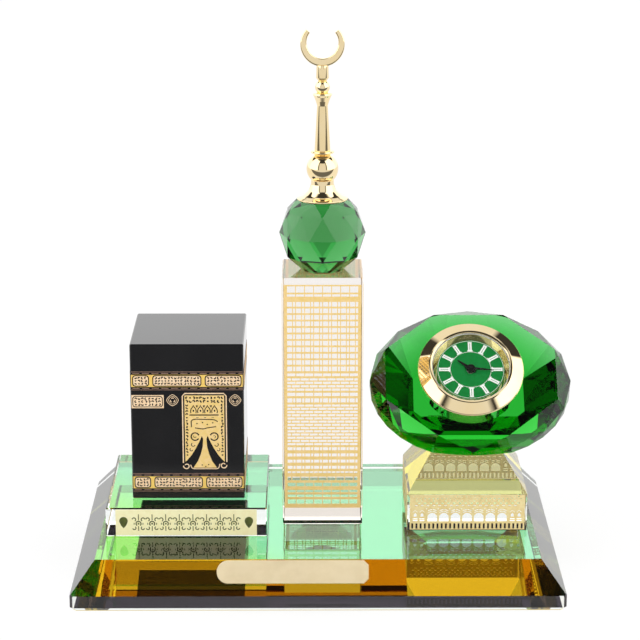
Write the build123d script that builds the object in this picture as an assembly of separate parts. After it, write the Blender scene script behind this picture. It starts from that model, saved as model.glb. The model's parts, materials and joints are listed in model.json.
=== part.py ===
from build123d import *
import math
import os

os.makedirs("parts", exist_ok=True)

# Sizes in millimetres. X runs to the viewer's right, Y away from the viewer, Z up.
# The origin is on the table, under the middle of the base.

# Base slab: clear glass with a wide bevel, and a coated underside
base_w = 165.0
base_d = 110.0
base_h = 15.4
base_band = 5.5
base_bevel = 8.0
base_corner = 1.0
base_foot_chamfer = 0.5
film_t = 0.2
arris = 0.4
gild_t = 0.1

# Name plate on the front bevel
plate_w = 50.5
plate_h = 7.9
plate_t = 0.6
plate_x = -8.5
plate_from_top = 0.5
plate_corner = 1.6

# Shrine group: clear plinth with a gilded strip, black block with gilded bands
plinth_side = 55.0
plinth_h = 10.3
plinth_x = -45.0
plinth_y = 1.4
strip_w = 48.2
strip_h = 9.3
strip_drop_w = 3.0
strip_drop_h = 5.0
strip_frame = 0.7
strip_lozenges = 9
shrine_side = 38.6
shrine_h = 55.4
shrine_dx = 0.5
shrine_dy = 1.3
band_h = 6.6
upper_band_z = 39.2
lower_band_z = 2.6
band_rail = 1.5
band_pillar_w = 2.0
band_pillars = (-12.3, 5.5)
door_w = 15.3
door_h = 27.5
door_x = 5.8
door_z = 10.7
door_frame = 2.0
door_lintel = 11.0
curtain_top_w = 1.2
curtain_foot_w = 8.0
cartouche_w = 11.0
cartouche_h = 4.7
cartouche_x = -13.5
cartouche_z = 35.1
roundel_r = 2.1
roundel_rim = 0.6
roundel_eye_r = 0.9
roundel_z = 35.6
roundel_xs = (-5.0, 16.3)

# Tower group: clear tower with a gilded window grid, faceted ball, turned finial
tower_w = 27.4
tower_d = 26.0
tower_h = 88.4
tower_x = 1.6
tower_y = -2.0
grid_margin = 0.25
grid_foot = 6.2
grid_h = 79.9
# Each band of windows: lowest sill above the grid's foot, rows, pitch, window height, windows, pattern.
# Patterns: even, brick (every other row shifted by half a window), pairs (a wide and a narrow window each)
grid_bands = (
    (1.5, 1, 2.0, 1.6, 8, "even"),
    (4.0, 2, 1.7, 0.9, 8, "even"),
    (7.9, 2, 2.2, 1.3, 8, "brick"),
    (12.7, 1, 1.2, 0.7, 16, "even"),
    (14.3, 4, 2.25, 1.1, 8, "pairs"),
    (22.9, 13, 1.16, 0.75, 8, "brick"),
    (38.3, 1, 2.3, 1.5, 8, "pairs"),
    (40.6, 1, 1.9, 1.2, 8, "even"),
    (42.5, 4, 1.22, 0.8, 8, "brick"),
    (47.7, 1, 1.2, 1.0, 8, "even"),
    (49.5, 11, 2.28, 1.65, 8, "pairs"),
    (75.8, 1, 1.2, 0.8, 8, "even"),
    (77.2, 1, 2.4, 2.2, 8, "even"),
)
grid_wide_share = 0.66
grid_side_rail = 0.9
grid_bar = 0.3
ball_r = 14.7
ball_sides = 10
ball_foot_r = 7.4
ball_table_r = 8.9
ball_ring_latitude = 32.0
skirt_r = 8.6
skirt_rim = 0.5
neck_r = 3.9
neck_h = 5.4
neck_band = 1.3
knob_r = 5.4
cup_low_r = 2.6
cup_r = 4.0
cup_h = 1.5
cup_rim = 0.8
spindle_low_r = 2.7
spindle_high_r = 1.8
spindle_h = 15.3
collar_r = 3.3
collar_h = 4.5
bead_r = 2.5
socket_r = 2.15
socket_waist_r = 1.4
socket_h = 5.4
crescent_r = 7.4
crescent_inner_r = 5.3
crescent_shift = 0.6
crescent_gap = 6.8
crescent_tip = 5.1
crescent_t = 2.4
crescent_sink = 0.5
stud_r = 1.2
stud_in_ball = 3.0
stud_fit = 0.05

# Clock pedestal: clear block with a four-sided bevel, and a gilded arcade on each side
pedestal_w = 41.1
pedestal_d = 41.1
pedestal_body = 13.1
pedestal_h = 25.7
pedestal_bevel = 8.3
pedestal_x = 51.3
pedestal_y = -0.1
arcade_w = 39.5
arcade_h = 12.6
arcade_foot = 0.3
arcade_arches = 7
arch_w = 3.3
arch_h = 2.9
arch_pitch = 4.0
arch_sill = 3.0
arch_shoulder = 0.7
baluster_gap = 0.72
baluster_pitch = 1.45
baluster_h = 2.0
baluster_sill = 0.2
tower_window_w = 1.75
frieze_sills = (6.6, 8.5, 10.2)
frieze_cut_w = 1.0
frieze_cut_h = 0.6
frieze_pitch = 2.2

# Clock crystal: an oval gem, leaning back, with its bottom ground flat
gem_a = 35.1
gem_b = 28.5
gem_table_ratio = 0.915
gem_crown = 4.65
gem_band = 4.15
gem_depth = 24.8
gem_back_ratio = 0.6
gem_sides = 16
gem_normal_elevation = 47.5
gem_x = 53.2
gem_y = 0.2
gem_table_above_pedestal = 24.1
insert_rise = 1.76
bore_r = 17.3
bore_depth = 12.0

# Clock insert: heights are measured from the crystal's front face, outwards positive
bezel_r = 18.5
bezel_edge = 0.6
bezel_lip_r = 14.3
bezel_lip_h = 2.6
bezel_mouth_r = 13.6
lens_r = 14.0
lens_t = 0.4
lens_top = 2.2
lens_seat_fit = 0.05
gasket_t = 0.2
reflector_mouth_r = 13.3
dial_view_r = 11.75
dial_r = 13.6
dial_t = 0.4
dial_hole_r = 1.6
print_t = 0.05
mark_count = 12
mark_inner_r = 7.25
mark_outer_r = 11.05
mark_stroke = 0.5
mark_slit = 0.22
mark_foot_w = 2.0
mark_foot_h = 0.4
mark_cap_w = 1.45
mark_cap_h = 0.3
track_radii = (7.1, 11.45)
track_w = 0.12
case_r = 16.6
case_bore_r = 14.0
case_fit = 0.03
case_depth = 9.0
grip_level = 4.0
grip_h = 2.2
grip_groove = 0.6
grip_fit = 0.06

# Hands, set at 10:16
hour_hand_angle = 308.0
minute_hand_angle = 96.0
hour_hand_length = 5.6
minute_hand_length = 7.85
hand_tail = 2.0
hour_hand_w = 0.7
minute_hand_w = 0.5
hand_t = 0.2
hand_boss_r = 1.5
hour_hand_level = 0.35
minute_hand_level = 0.95
hand_cap_r = 1.0
hand_cap_h = 0.2

# Movement
shaft_fit = 0.05
main_plate_top = -2.1
main_plate_bottom = -2.9
rim_bore_r = 12.4
bridge_top = -6.6
bridge_bottom = -7.2
bridge_r = 13.0
pillar_r = 0.9
pillar_orbit = 11.8
pillar_angles = (20, 185, 275)
screw_head_r = 0.8
screw_head_h = 0.45
screw_shank_r = 0.4
screw_shank = 2.0
motion_module = 0.25
cannon_teeth = 10
minute_teeth = 30
minute_pinion_teeth = 8
hour_teeth = 32
train_module = 0.13
centre_teeth = 64
third_teeth = 60
train_pinion_teeth = 8
centre_shaft_r = 0.4
cannon_r = 0.75
hour_pipe_r = 1.15
minute_shaft_r = 0.4
pivot_r = 0.2
wheel_t = 0.4
motion_low = -1.75
hour_wheel_low = -1.0
centre_wheel_low = -3.5
third_wheel_low = -4.5
rotor_r = 1.1
rotor_top = -4.8
rotor_h = 0.9
stator_top = -5.0
stator_t = 0.5
stator_hole_r = 1.4
stator_lobe_r = 2.5
stator_arm = 1.3
third_angle = 150.0
rotor_angle = 75.0
coil_x = 3.8
coil_y = 8.7
coil_length = 8.0
coil_r = 1.3
coil_flange = 2.9
coil_flange_t = 0.4
coil_core = 1.0
board_t = 0.4
board_side = 9.0
board_corner_x = -1.8
board_corner_y = -2.2
chip_r = 1.3
chip_h = 0.5
quartz_r = 0.75
quartz_length = 5.0
quartz_x = -6.0
quartz_y = -8.0
battery_r = 3.4
battery_h = 2.6
battery_x = 7.6
battery_y = -3.0
battery_top = -3.8
battery_fit = 0.2
contact_w = 2.0
contact_t = 0.2
back_cover_top = -8.0
back_cover_bottom = -8.8
cover_fit = 0.06
battery_cover_r = 4.0
lug_r = 4.7
lug_h = 0.45
lug_gap = 0.05
lug_span = 30.0
notch_span = 38.0
battery_cover_turn = 45.0
coin_slot_w = 1.1
coin_slot_depth = 0.4
setting_knob_r = 2.2
setting_knob_h = 1.5
setting_knob_gap = 0.3
setting_knob_flutes = 18


def bevelled_block(width, depth, band, height, inset, corner):
    """Block with straight sides up to band, then four bevels that rise to height."""
    def profile(span):
        half = span / 2
        top = half - inset
        return Polygon((-half, 0), (half, 0), (half, band), (top, height), (-top, height), (-half, band),
                       align=None)
    along_y = extrude(Plane.XZ * profile(width), amount=depth, both=True)
    along_x = extrude(Plane.YZ * profile(depth), amount=width, both=True)
    plan = extrude(chamfer(Rectangle(width, depth).vertices(), corner), amount=height)
    return along_y & along_x & plan


def arris_box(width, depth, height, edge=arris):
    """Upright block on its lower face, with every edge lightly ground."""
    block = Box(width, depth, height, align=(Align.CENTER, Align.CENTER, Align.MIN))
    return chamfer(block.edges(), edge)


def polyhedron(faces):
    """Closed solid from flat faces, each a list of points."""
    sides = [Face(Wire.make_polygon([Vector(*p) for p in face], close=True)) for face in faces]
    return Solid(Shell(sides))


def turned(points):
    """Solid of revolution about Z from (radius, height) points."""
    return revolve(Plane.XZ * make_face(Polyline(*points, close=True)), Axis.Z)


def ring(outer, inner, low, high):
    """Flat ring or tube about Z between two heights."""
    tube = Cylinder(outer, high - low, align=(Align.CENTER, Align.CENTER, Align.MIN))
    if inner > 0:
        tube -= Cylinder(inner, high - low, align=(Align.CENTER, Align.CENTER, Align.MIN))
    return Pos(0, 0, low) * tube


def on_four_sides(front_sheet, side_sheet, depth, width):
    """Sheets drawn in XZ, facing -Y: a pair for front and back, and a pair for the two sides."""
    wide = [Rot(0, 0, turn) * Pos(0, -depth / 2, 0) * front_sheet for turn in (0, 180)]
    side = [Rot(0, 0, turn) * Pos(0, -width / 2, 0) * side_sheet for turn in (90, 270)]
    return wide, side


def sheet(outline, openings=()):
    """Thin gilded sheet standing in XZ on its back face, with openings that don't touch each other."""
    drawn = Face(outline.face().outer_wire(), [cut.face().outer_wire() for cut in openings])
    return extrude(Plane.XZ * drawn, amount=gild_t)


def gear(teeth, module, low, high, bore=0.0, turn=0.0):
    """Straight-toothed wheel about Z: short teeth with slack, so that pairs run free."""
    pitch_r = teeth * module / 2
    root_r = pitch_r - 1.1 * module
    tip_r = pitch_r + 0.8 * module
    pitch = 2 * math.pi / teeth
    points = []
    for tooth in range(teeth):
        middle = math.radians(turn) + tooth * pitch
        for radius, offset in ((root_r, -0.32), (tip_r, -0.13), (tip_r, 0.13), (root_r, 0.32)):
            angle = middle + offset * pitch
            points.append((radius * math.cos(angle), radius * math.sin(angle)))
    drawn = make_face(Polyline(*points, close=True))
    if bore > 0:
        drawn -= Circle(bore)
    return Pos(0, 0, low) * extrude(drawn, amount=high - low)


def mesh_turn(driver_teeth, driver_turn, driven_teeth, direction):
    """Turn of a driven wheel that puts a gap where the driver has a tooth, along direction degrees."""
    driver_phase = (direction - driver_turn) * driver_teeth / 360
    return direction + 180 - (0.5 - driver_phase) * 360 / driven_teeth


def group(pieces):
    return Compound(children=list(pieces))


def flat(shape):
    """All solids of a shape as one group."""
    return Compound(children=[Solid(s.wrapped) for s in shape.solids()])


# Base

def make_base():
    slab = bevelled_block(base_w, base_d, base_band, base_h, base_bevel, base_corner)
    foot = slab.edges().group_by(Axis.Z)[0]
    slab = chamfer(foot, base_foot_chamfer)
    cut = Pos(0, 0, film_t / 2) * Box(base_w, base_d, film_t)
    inset = 2 * (base_foot_chamfer - film_t)
    film = extrude(chamfer(Rectangle(base_w - inset - 2 * film_t, base_d - inset - 2 * film_t).vertices(),
                           base_corner), amount=film_t)
    return slab - cut, film


def make_name_plate():
    outline = Rectangle(plate_w, plate_h)
    corners = outline.vertices().sort_by(Axis.X)
    left = fillet(corners[:2], plate_h / 2 - 0.05)
    right = left.vertices().sort_by(Axis.X)[-2:]
    drawn = chamfer(right, plate_corner)
    slope = math.degrees(math.atan2(base_h - base_band, base_bevel))
    rise = math.radians(slope)
    down = plate_from_top + plate_h / 2
    front = base_d / 2 - base_bevel
    place = Plane(origin=(plate_x, -front - down * math.cos(rise), base_h - down * math.sin(rise)),
                  x_dir=(1, 0, 0), z_dir=(0, -math.sin(rise), math.cos(rise)))
    return place.location * extrude(drawn, amount=plate_t)


# Shrine group

def drop_shape(width, height):
    """Upright pointed drop for the ends of the plinth's strip."""
    return make_face(Polyline((0, -height / 2), (width / 2, 0), (0, height / 2), (-width / 2, 0), close=True))


def make_plinth():
    place = Pos(plinth_x, plinth_y, base_h)
    block = place * arris_box(plinth_side, plinth_side, plinth_h)
    inner_w = strip_w - 2 * strip_frame
    end_room = strip_drop_w + 2 * strip_frame
    run = inner_w - 2 * end_room
    pitch = run / strip_lozenges
    openings = []
    for index in range(strip_lozenges):
        x = -run / 2 + (index + 0.5) * pitch
        openings.append(Pos(x, 0) * drop_shape(pitch * 0.8, strip_h - 4 * strip_frame))
    for side in (-1, 1):
        openings.append(Pos(side * (inner_w - end_room) / 2, 0) * drop_shape(strip_drop_w, strip_drop_h))
    strip = Pos(0, -plinth_side / 2, plinth_h / 2) * sheet(Rectangle(strip_w, strip_h), openings)
    return block, place * strip


def band_sheet():
    """One side of a gilded band: rails above and below a row of long rounded windows between pillars."""
    half_w = shrine_side / 2 - arris
    window_h = band_h - 2 * band_rail
    stops = [-half_w - band_pillar_w / 4] + list(band_pillars) + [half_w + band_pillar_w / 4]
    openings = []
    for left, right in zip(stops, stops[1:]):
        window_w = right - left - band_pillar_w
        openings.append(Pos((left + right) / 2, 0) * RectangleRounded(window_w, window_h, window_h / 2 - 0.05))
    return sheet(Rectangle(2 * half_w, band_h), openings)


def make_door():
    """Gilded door panel: frame, lintel field with two roundels, and a curtain that flares to its foot."""
    half = door_w / 2 - door_frame
    top = door_h / 2 - door_lintel
    foot = -door_h / 2 + door_frame
    openings = []
    for side in (-1, 1):
        wedge = Polyline((side * curtain_top_w / 2, top), (side * half, top), (side * half, foot),
                         (side * curtain_foot_w / 2, foot), close=True)
        openings.append(make_face(wedge))
    lintel_mid = door_h / 2 - door_frame - 2.6
    openings.append(Pos(0, lintel_mid) * RectangleRounded(2 * half - 1.6, 2.6, 1.2))
    for side in (-1, 1):
        openings.append(Pos(side * half * 0.55, lintel_mid - 3.9) * Circle(1.1))
    return sheet(Rectangle(door_w, door_h), openings)


def make_shrine():
    place = Pos(plinth_x + shrine_dx, plinth_y + shrine_dy, base_h + plinth_h)
    block = place * arris_box(shrine_side, shrine_side, shrine_h)
    bands = []
    for low in (upper_band_z, lower_band_z):
        side = Pos(0, 0, low + band_h / 2) * band_sheet()
        wide, narrow = on_four_sides(side, side, shrine_side, shrine_side)
        bands.append(place * group(wide + narrow))
    front = place * Pos(0, -shrine_side / 2, 0)
    door = front * Pos(door_x, 0, door_z + door_h / 2) * make_door()
    cartouche_outline = RectangleRounded(cartouche_w, cartouche_h, cartouche_h * 0.35)
    cartouche_window = RectangleRounded(cartouche_w - 1.6, cartouche_h - 1.6, (cartouche_h - 1.6) * 0.35)
    cartouche = front * Pos(cartouche_x, 0, cartouche_z) * sheet(cartouche_outline, [cartouche_window])
    roundels = []
    for x in roundel_xs:
        for piece in (sheet(Circle(roundel_r), [Circle(roundel_r - roundel_rim)]), sheet(Circle(roundel_eye_r))):
            roundels += (front * Pos(x, 0, roundel_z) * piece).solids()
    return block, bands[0], bands[1], door, cartouche, group(roundels)


# Tower group

def window_row(clear_w, count, pattern, row):
    """Left and right edges of the windows in one row of the grid."""
    step = clear_w / count
    edges = [k * step for k in range(count + 1)]
    if pattern == "brick" and row % 2:
        edges = [0.0] + [(k + 0.5) * step for k in range(count)] + [clear_w]
    if pattern == "pairs":
        edges = sorted(edges + [(k + grid_wide_share) * step for k in range(count)])
    half_bar = grid_bar / 2
    return [(a + half_bar - clear_w / 2, b - half_bar - clear_w / 2) for a, b in zip(edges, edges[1:])]


def window_sheet(width):
    """Gilded grid of windows, one side of the tower, with its foot at Z 0."""
    openings = []
    clear_w = width - 2 * grid_side_rail
    for sill, rows, pitch, window_h, count, pattern in grid_bands:
        for row in range(rows):
            middle = sill + row * pitch + window_h / 2 - grid_h / 2
            for start, end in window_row(clear_w, count, pattern, row):
                openings.append(Pos((start + end) / 2, middle) * Rectangle(end - start, window_h))
    return Pos(0, 0, grid_h / 2) * sheet(Rectangle(width, grid_h), openings)


def make_tower():
    place = Pos(tower_x, tower_y, base_h)
    block = place * arris_box(tower_w, tower_d, tower_h)
    foot = Pos(0, 0, grid_foot)
    front = foot * window_sheet(tower_w - 2 * (arris + grid_margin))
    side = foot * window_sheet(tower_d - 2 * (arris + grid_margin))
    wide, narrow = on_four_sides(front, side, tower_d, tower_w)
    return block, place * wide[0], place * group(narrow)


def sphere_level(radius):
    return math.sqrt(ball_r ** 2 - radius ** 2)


def make_ball():
    """Faceted ball: rings of points on a sphere, joined by flat triangles, cut flat above and below."""
    low = -sphere_level(ball_foot_r)
    high = sphere_level(ball_table_r)
    tilt = math.radians(ball_ring_latitude)
    rings = []
    levels = ((ball_foot_r, low, 0.0), (ball_r * math.cos(tilt), -ball_r * math.sin(tilt), 0.5),
              (ball_r, 0.0, 0.0), (ball_r * math.cos(tilt), ball_r * math.sin(tilt), 0.5),
              (ball_table_r, high, 0.0))
    for radius, level, shift in levels:
        step = 2 * math.pi / ball_sides
        rings.append([(radius * math.cos((k + shift) * step), radius * math.sin((k + shift) * step), level)
                      for k in range(ball_sides)])
    faces = [rings[0][::-1], rings[-1]]
    for index in range(len(rings) - 1):
        below, above = rings[index], rings[index + 1]
        lead = 0 if levels[index][2] == 0.0 else 1
        for k in range(ball_sides):
            after = (k + 1) % ball_sides
            if lead == 0:
                faces.append([below[k], below[after], above[k]])
                faces.append([below[after], above[after], above[k]])
            else:
                faces.append([below[k], above[after], above[k]])
                faces.append([below[k], below[after], above[after]])
    ball = polyhedron(faces)
    stud_hole = ring(stud_r + stud_fit, 0, high - stud_in_ball, high)
    return ball - stud_hole, low, high


def turned_arc(points_before, arc, points_after):
    """Solid of revolution whose outline has one three-point arc between two runs of straight lines."""
    lines = Polyline(*points_before, arc[0]) if points_before else None
    curve = ThreePointArc(*arc)
    closing = Polyline(arc[2], *points_after)
    edges = [curve, closing] if lines is None else [lines, curve, closing]
    return revolve(Plane.XZ * make_face(Curve() + edges), Axis.Z)


def make_finial(foot):
    """Turned finial on a stud: skirt, knob, cup, spindle, bead, socket and crescent, from foot upwards."""
    bore = stud_r + stud_fit
    level = foot
    skirt_mid = ((skirt_r + neck_r) / 2 - 0.6, level + (neck_h + skirt_rim) / 2 - 0.2)
    neck_top = level + neck_h + neck_band
    skirt = turned_arc([(bore, level), (skirt_r, level)],
                       ((skirt_r, level + skirt_rim), skirt_mid, (neck_r, level + neck_h)),
                       [(neck_r, neck_top), (bore, neck_top), (bore, level)])
    knob_drop = math.sqrt(knob_r ** 2 - neck_r ** 2)
    knob_rise = math.sqrt(knob_r ** 2 - cup_low_r ** 2)
    knob_mid = neck_top + knob_drop
    knob = turned_arc([(bore, knob_mid - knob_drop)],
                      ((neck_r, knob_mid - knob_drop), (knob_r, knob_mid), (cup_low_r, knob_mid + knob_rise)),
                      [(bore, knob_mid + knob_rise), (bore, knob_mid - knob_drop)])
    level = knob_mid + knob_rise
    cup = turned([(bore, level), (cup_low_r, level), (cup_r - 0.3, level + cup_h - cup_rim),
                  (cup_r, level + cup_h - cup_rim / 2), (cup_r - 0.3, level + cup_h), (bore, level + cup_h)])
    level += cup_h
    stud_end = level + spindle_h / 2
    top = level + spindle_h
    spindle = turned([(bore, level), (spindle_low_r, level), (spindle_high_r, top),
                      (collar_r - 0.4, top + collar_h - 1.1), (collar_r, top + collar_h - 0.7),
                      (collar_r - 0.3, top + collar_h - 0.2), (bead_r * 0.7, top + collar_h),
                      (0, top + collar_h), (0, stud_end), (bore, stud_end)])
    level = top + collar_h
    bead_mid = level + bead_r * math.sqrt(1 - 0.7 ** 2)
    bead_top = bead_mid + math.sqrt(bead_r ** 2 - socket_waist_r ** 2)
    bead = turned_arc([(0, level)], ((bead_r * 0.7, level), (bead_r, bead_mid), (socket_waist_r, bead_top)),
                      [(0, bead_top), (0, level)])
    level = bead_top
    socket_top = level + socket_h
    crescent_mid = socket_top + crescent_r - crescent_sink
    socket = turned([(0, level), (socket_waist_r, level), (socket_r, level + 1.0),
                     (socket_r - 0.15, socket_top), (0, socket_top)])
    drawn = Circle(crescent_r) - Pos(0, crescent_shift) * Circle(crescent_inner_r)
    drawn -= Pos(0, crescent_r) * Rectangle(crescent_gap, 2 * crescent_r)
    drawn -= Pos(0, crescent_tip + crescent_r) * Rectangle(3 * crescent_r, 2 * crescent_r)
    crescent = Pos(0, 0, crescent_mid) * extrude(Plane.XZ * drawn, amount=crescent_t / 2, both=True)
    crescent = chamfer(crescent.edges().filter_by(GeomType.CIRCLE), 0.35)
    socket -= crescent
    stud = ring(stud_r, 0, foot - stud_in_ball, stud_end)
    return {"finial_skirt": skirt, "finial_knob": knob, "finial_cup": cup, "finial_spindle": spindle,
            "finial_bead": bead, "crescent_socket": socket, "crescent": crescent, "finial_stud": stud}


# Clock pedestal

def arcade_sheet(width):
    """Gilded arcade: balusters, a row of pointed arches between towers, and a frieze of small cuts."""
    openings = []
    half_h = arcade_h / 2
    arches = arcade_arches if width < 1.1 * arcade_w else arcade_arches + 2
    for index in range(arches):
        x = (index - (arches - 1) / 2) * arch_pitch
        low = arch_sill - half_h
        arch = Polyline((x - arch_w / 2, low), (x + arch_w / 2, low), (x + arch_w / 2, low + arch_h * arch_shoulder),
                        (x, low + arch_h), (x - arch_w / 2, low + arch_h * arch_shoulder), close=True)
        openings.append(make_face(arch))
    end_room = (width - arches * arch_pitch) / 2
    for side in (-1, 1):
        for place in (0.28, 0.72):
            x = side * (width / 2 - end_room * place)
            openings.append(Pos(x, arch_sill + 0.9 - half_h) * Rectangle(tower_window_w, 0.9))
            openings.append(Pos(x, arch_sill + 2.4 - half_h) * RegularPolygon(tower_window_w / 2, 3, rotation=90))
    balusters = int(width / baluster_pitch)
    for index in range(balusters):
        x = (index - (balusters - 1) / 2) * baluster_pitch
        openings.append(Pos(x, baluster_sill + baluster_h / 2 - half_h) * Rectangle(baluster_gap, baluster_h))
    cuts = int((width - 1.0) / frieze_pitch)
    for row, sill in enumerate(frieze_sills):
        shift = 0.25 * frieze_pitch if row % 2 else -0.25 * frieze_pitch
        for index in range(cuts):
            x = (index - (cuts - 1) / 2) * frieze_pitch + shift
            openings.append(Pos(x, sill + frieze_cut_h / 2 - half_h) * Rectangle(frieze_cut_w, frieze_cut_h))
    return Pos(0, 0, half_h) * sheet(Rectangle(width, arcade_h), openings)


def make_pedestal():
    place = Pos(pedestal_x, pedestal_y, base_h)
    block = place * bevelled_block(pedestal_w, pedestal_d, pedestal_body, pedestal_h, pedestal_bevel, arris)
    foot = Pos(0, 0, arcade_foot)
    front = foot * arcade_sheet(arcade_w)
    side = foot * arcade_sheet(arcade_w + pedestal_d - pedestal_w)
    wide, narrow = on_four_sides(front, side, pedestal_d, pedestal_w)
    return block, place * group(wide), place * group(narrow)


# Clock crystal

def gem_frame(up_the_face=0.0):
    """Frame on the crystal's front face: X across, Y up the face, Z out of it."""
    lift = math.radians(gem_normal_elevation)
    up = (0, math.sin(lift), math.cos(lift))
    origin = (gem_x, gem_y + up[1] * up_the_face,
              base_h + pedestal_h + gem_table_above_pedestal + up[2] * up_the_face)
    return Plane(origin=origin, x_dir=(1, 0, 0), z_dir=(0, -math.cos(lift), math.sin(lift)))


def oval_ring(ratio, level, count, shift=0.0):
    """Points round an oval of the gem's proportions, clockwise from the top."""
    points = []
    for k in range(count):
        angle = 2 * math.pi * (k + shift) / count
        points.append((gem_a * ratio * math.sin(angle), gem_b * ratio * math.cos(angle), level))
    return points


def make_crystal():
    """Oval gem: table, star and girdle facets in front, a fine band, and a faceted back, on a flat foot."""
    half = gem_sides // 2
    table = oval_ring(gem_table_ratio, 0.0, half, 0.5)
    rim = oval_ring(1.0, -gem_crown, gem_sides)
    back_rim = oval_ring(1.0, -gem_crown - gem_band, 2 * gem_sides)
    back = oval_ring(gem_back_ratio, -gem_depth, half, 0.5)
    faces = [table, back[::-1]]
    for k in range(half):
        after = (k + 1) % half
        apex = rim[2 * after]
        corner = rim[2 * k + 1]
        faces.append([table[k], table[after], apex])
        faces.append([table[k], apex, corner])
        faces.append([table[k], corner, rim[2 * k]])
    for k in range(gem_sides):
        after = (k + 1) % gem_sides
        low = back_rim[2 * k]
        mid = back_rim[2 * k + 1]
        high = back_rim[(2 * k + 2) % (2 * gem_sides)]
        faces.append([rim[k], mid, low])
        faces.append([rim[k], rim[after], mid])
        faces.append([rim[after], high, mid])
    for k in range(half):
        after = (k + 1) % half
        fan = [back_rim[(4 * k + step) % (2 * gem_sides)] for step in range(5)]
        for step in range(4):
            faces.append([back[k], fan[step], fan[step + 1]])
        faces.append([back[k], fan[4], back[after]])
    gem = gem_frame().location * polyhedron(faces)
    room = 4 * gem_a
    foot = Pos(gem_x, gem_y, base_h + pedestal_h - room / 2) * Box(room, room, room)
    bore = gem_frame(insert_rise).location * ring(bore_r, 0, -bore_depth, 1.0)
    return gem - foot - bore


# Clock insert, drawn about its own axis with the crystal's face at height 0

def make_bezel():
    rebate = lens_r + lens_seat_fit
    outline = [(rebate, 0), (bezel_r, 0)]
    arc = ((bezel_r, bezel_edge), ((bezel_r + bezel_lip_r) / 2 + 0.2, bezel_lip_h - 0.35), (bezel_lip_r, bezel_lip_h))
    after = [(bezel_mouth_r, bezel_lip_h - 0.15), (bezel_mouth_r, lens_top), (rebate, lens_top), (rebate, 0)]
    return turned_arc(outline, arc, after)


def make_lens():
    return ring(lens_r, 0, lens_top - lens_t, lens_top)


def make_gasket():
    top = lens_top - lens_t
    return ring(lens_r, reflector_mouth_r, top - gasket_t, top)


def make_reflector():
    top = lens_top - lens_t - gasket_t
    return turned([(dial_view_r, 0), (lens_r, 0), (lens_r, top), (reflector_mouth_r, top)])


def hour_mark():
    """One hour mark, pointing up the dial: twin strokes on a wide foot, under a short cap."""
    length = mark_outer_r - mark_inner_r
    shaft_w = 2 * mark_stroke + mark_slit
    shaft = Pos(0, mark_inner_r + length / 2) * Rectangle(shaft_w, length)
    foot = Pos(0, mark_inner_r + mark_foot_h / 2) * Rectangle(mark_foot_w, mark_foot_h)
    cap = Pos(0, mark_outer_r - mark_cap_h / 2) * Rectangle(mark_cap_w, mark_cap_h)
    slit_low = mark_inner_r + mark_foot_h
    slit_high = mark_outer_r - mark_cap_h
    slit = Pos(0, (slit_low + slit_high) / 2) * Rectangle(mark_slit, slit_high - slit_low)
    return shaft + foot + cap - slit


def make_marks():
    solids = []
    for hour in range(mark_count):
        raised = extrude(hour_mark(), amount=print_t)
        solids += (Rot(0, 0, -360 / mark_count * hour) * raised).solids()
    return group(solids)


def make_tracks():
    return group([ring(r + track_w / 2, r - track_w / 2, 0, print_t) for r in track_radii])


def hand(length, width, boss_hole, low):
    """Tapered hand pointing up the dial, with a short tail and a round boss."""
    blade = Polyline((-width, 0), (-width / 4, length), (width / 4, length), (width, 0), (width * 0.7, -hand_tail),
                     (-width * 0.7, -hand_tail), close=True)
    drawn = make_face(blade) + Circle(hand_boss_r) - Circle(boss_hole)
    return Pos(0, 0, low) * extrude(drawn, amount=hand_t)


def polar(distance, angle):
    return distance * math.cos(math.radians(angle)), distance * math.sin(math.radians(angle))


motion_distance = motion_module * (cannon_teeth + minute_teeth) / 2
minute_x, minute_y = 0.0, -motion_distance
third_distance = train_module * (centre_teeth + train_pinion_teeth) / 2
third_x, third_y = polar(third_distance, third_angle)
rotor_distance = train_module * (third_teeth + train_pinion_teeth) / 2
rotor_dx, rotor_dy = polar(rotor_distance, rotor_angle)
rotor_x, rotor_y = third_x + rotor_dx, third_y + rotor_dy
hour_pipe_bore = cannon_r + shaft_fit
knob_top = back_cover_bottom - setting_knob_gap


def make_hands():
    hour = Rot(0, 0, -hour_hand_angle) * hand(hour_hand_length, hour_hand_w, hour_pipe_r, hour_hand_level)
    minute = Rot(0, 0, -minute_hand_angle) * hand(minute_hand_length, minute_hand_w, cannon_r, minute_hand_level)
    cap = ring(hand_cap_r, 0, minute_hand_level + hand_t, minute_hand_level + hand_t + hand_cap_h)
    return hour, minute + cap


def make_case():
    groove_r = case_r - grip_groove
    middle = -grip_level
    body = ring(case_r, case_bore_r, -case_depth, 0)
    body -= ring(case_r + 1, groove_r, middle - grip_h / 2, middle + grip_h / 2)
    bulge = bore_r - grip_fit
    grip = turned_arc([(groove_r, middle - grip_h / 2)],
                      ((case_r, middle - grip_h / 2), (bulge, middle), (case_r, middle + grip_h / 2)),
                      [(groove_r, middle + grip_h / 2), (groove_r, middle - grip_h / 2)])
    return body, grip


def pillar_places():
    return [polar(pillar_orbit, angle) for angle in pillar_angles]


def make_main_plate():
    plate_r = case_bore_r - case_fit
    plate = ring(plate_r, 0, main_plate_bottom, main_plate_top)
    plate += ring(plate_r, rim_bore_r, main_plate_top, -dial_t)
    for x, y in pillar_places():
        plate += Pos(x, y, 0) * ring(pillar_r, 0, bridge_top, main_plate_bottom)
        plate -= Pos(x, y, 0) * ring(screw_shank_r, 0, bridge_top, bridge_top + screw_shank)
    plate -= ring(centre_shaft_r + shaft_fit, 0, main_plate_bottom, main_plate_top)
    plate -= Pos(minute_x, minute_y, 0) * ring(minute_shaft_r + shaft_fit, 0, main_plate_bottom, main_plate_top)
    for x, y in ((third_x, third_y), (rotor_x, rotor_y)):
        plate -= Pos(x, y, 0) * ring(pivot_r + shaft_fit, 0, main_plate_bottom, main_plate_bottom + 0.4)
    return plate


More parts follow.
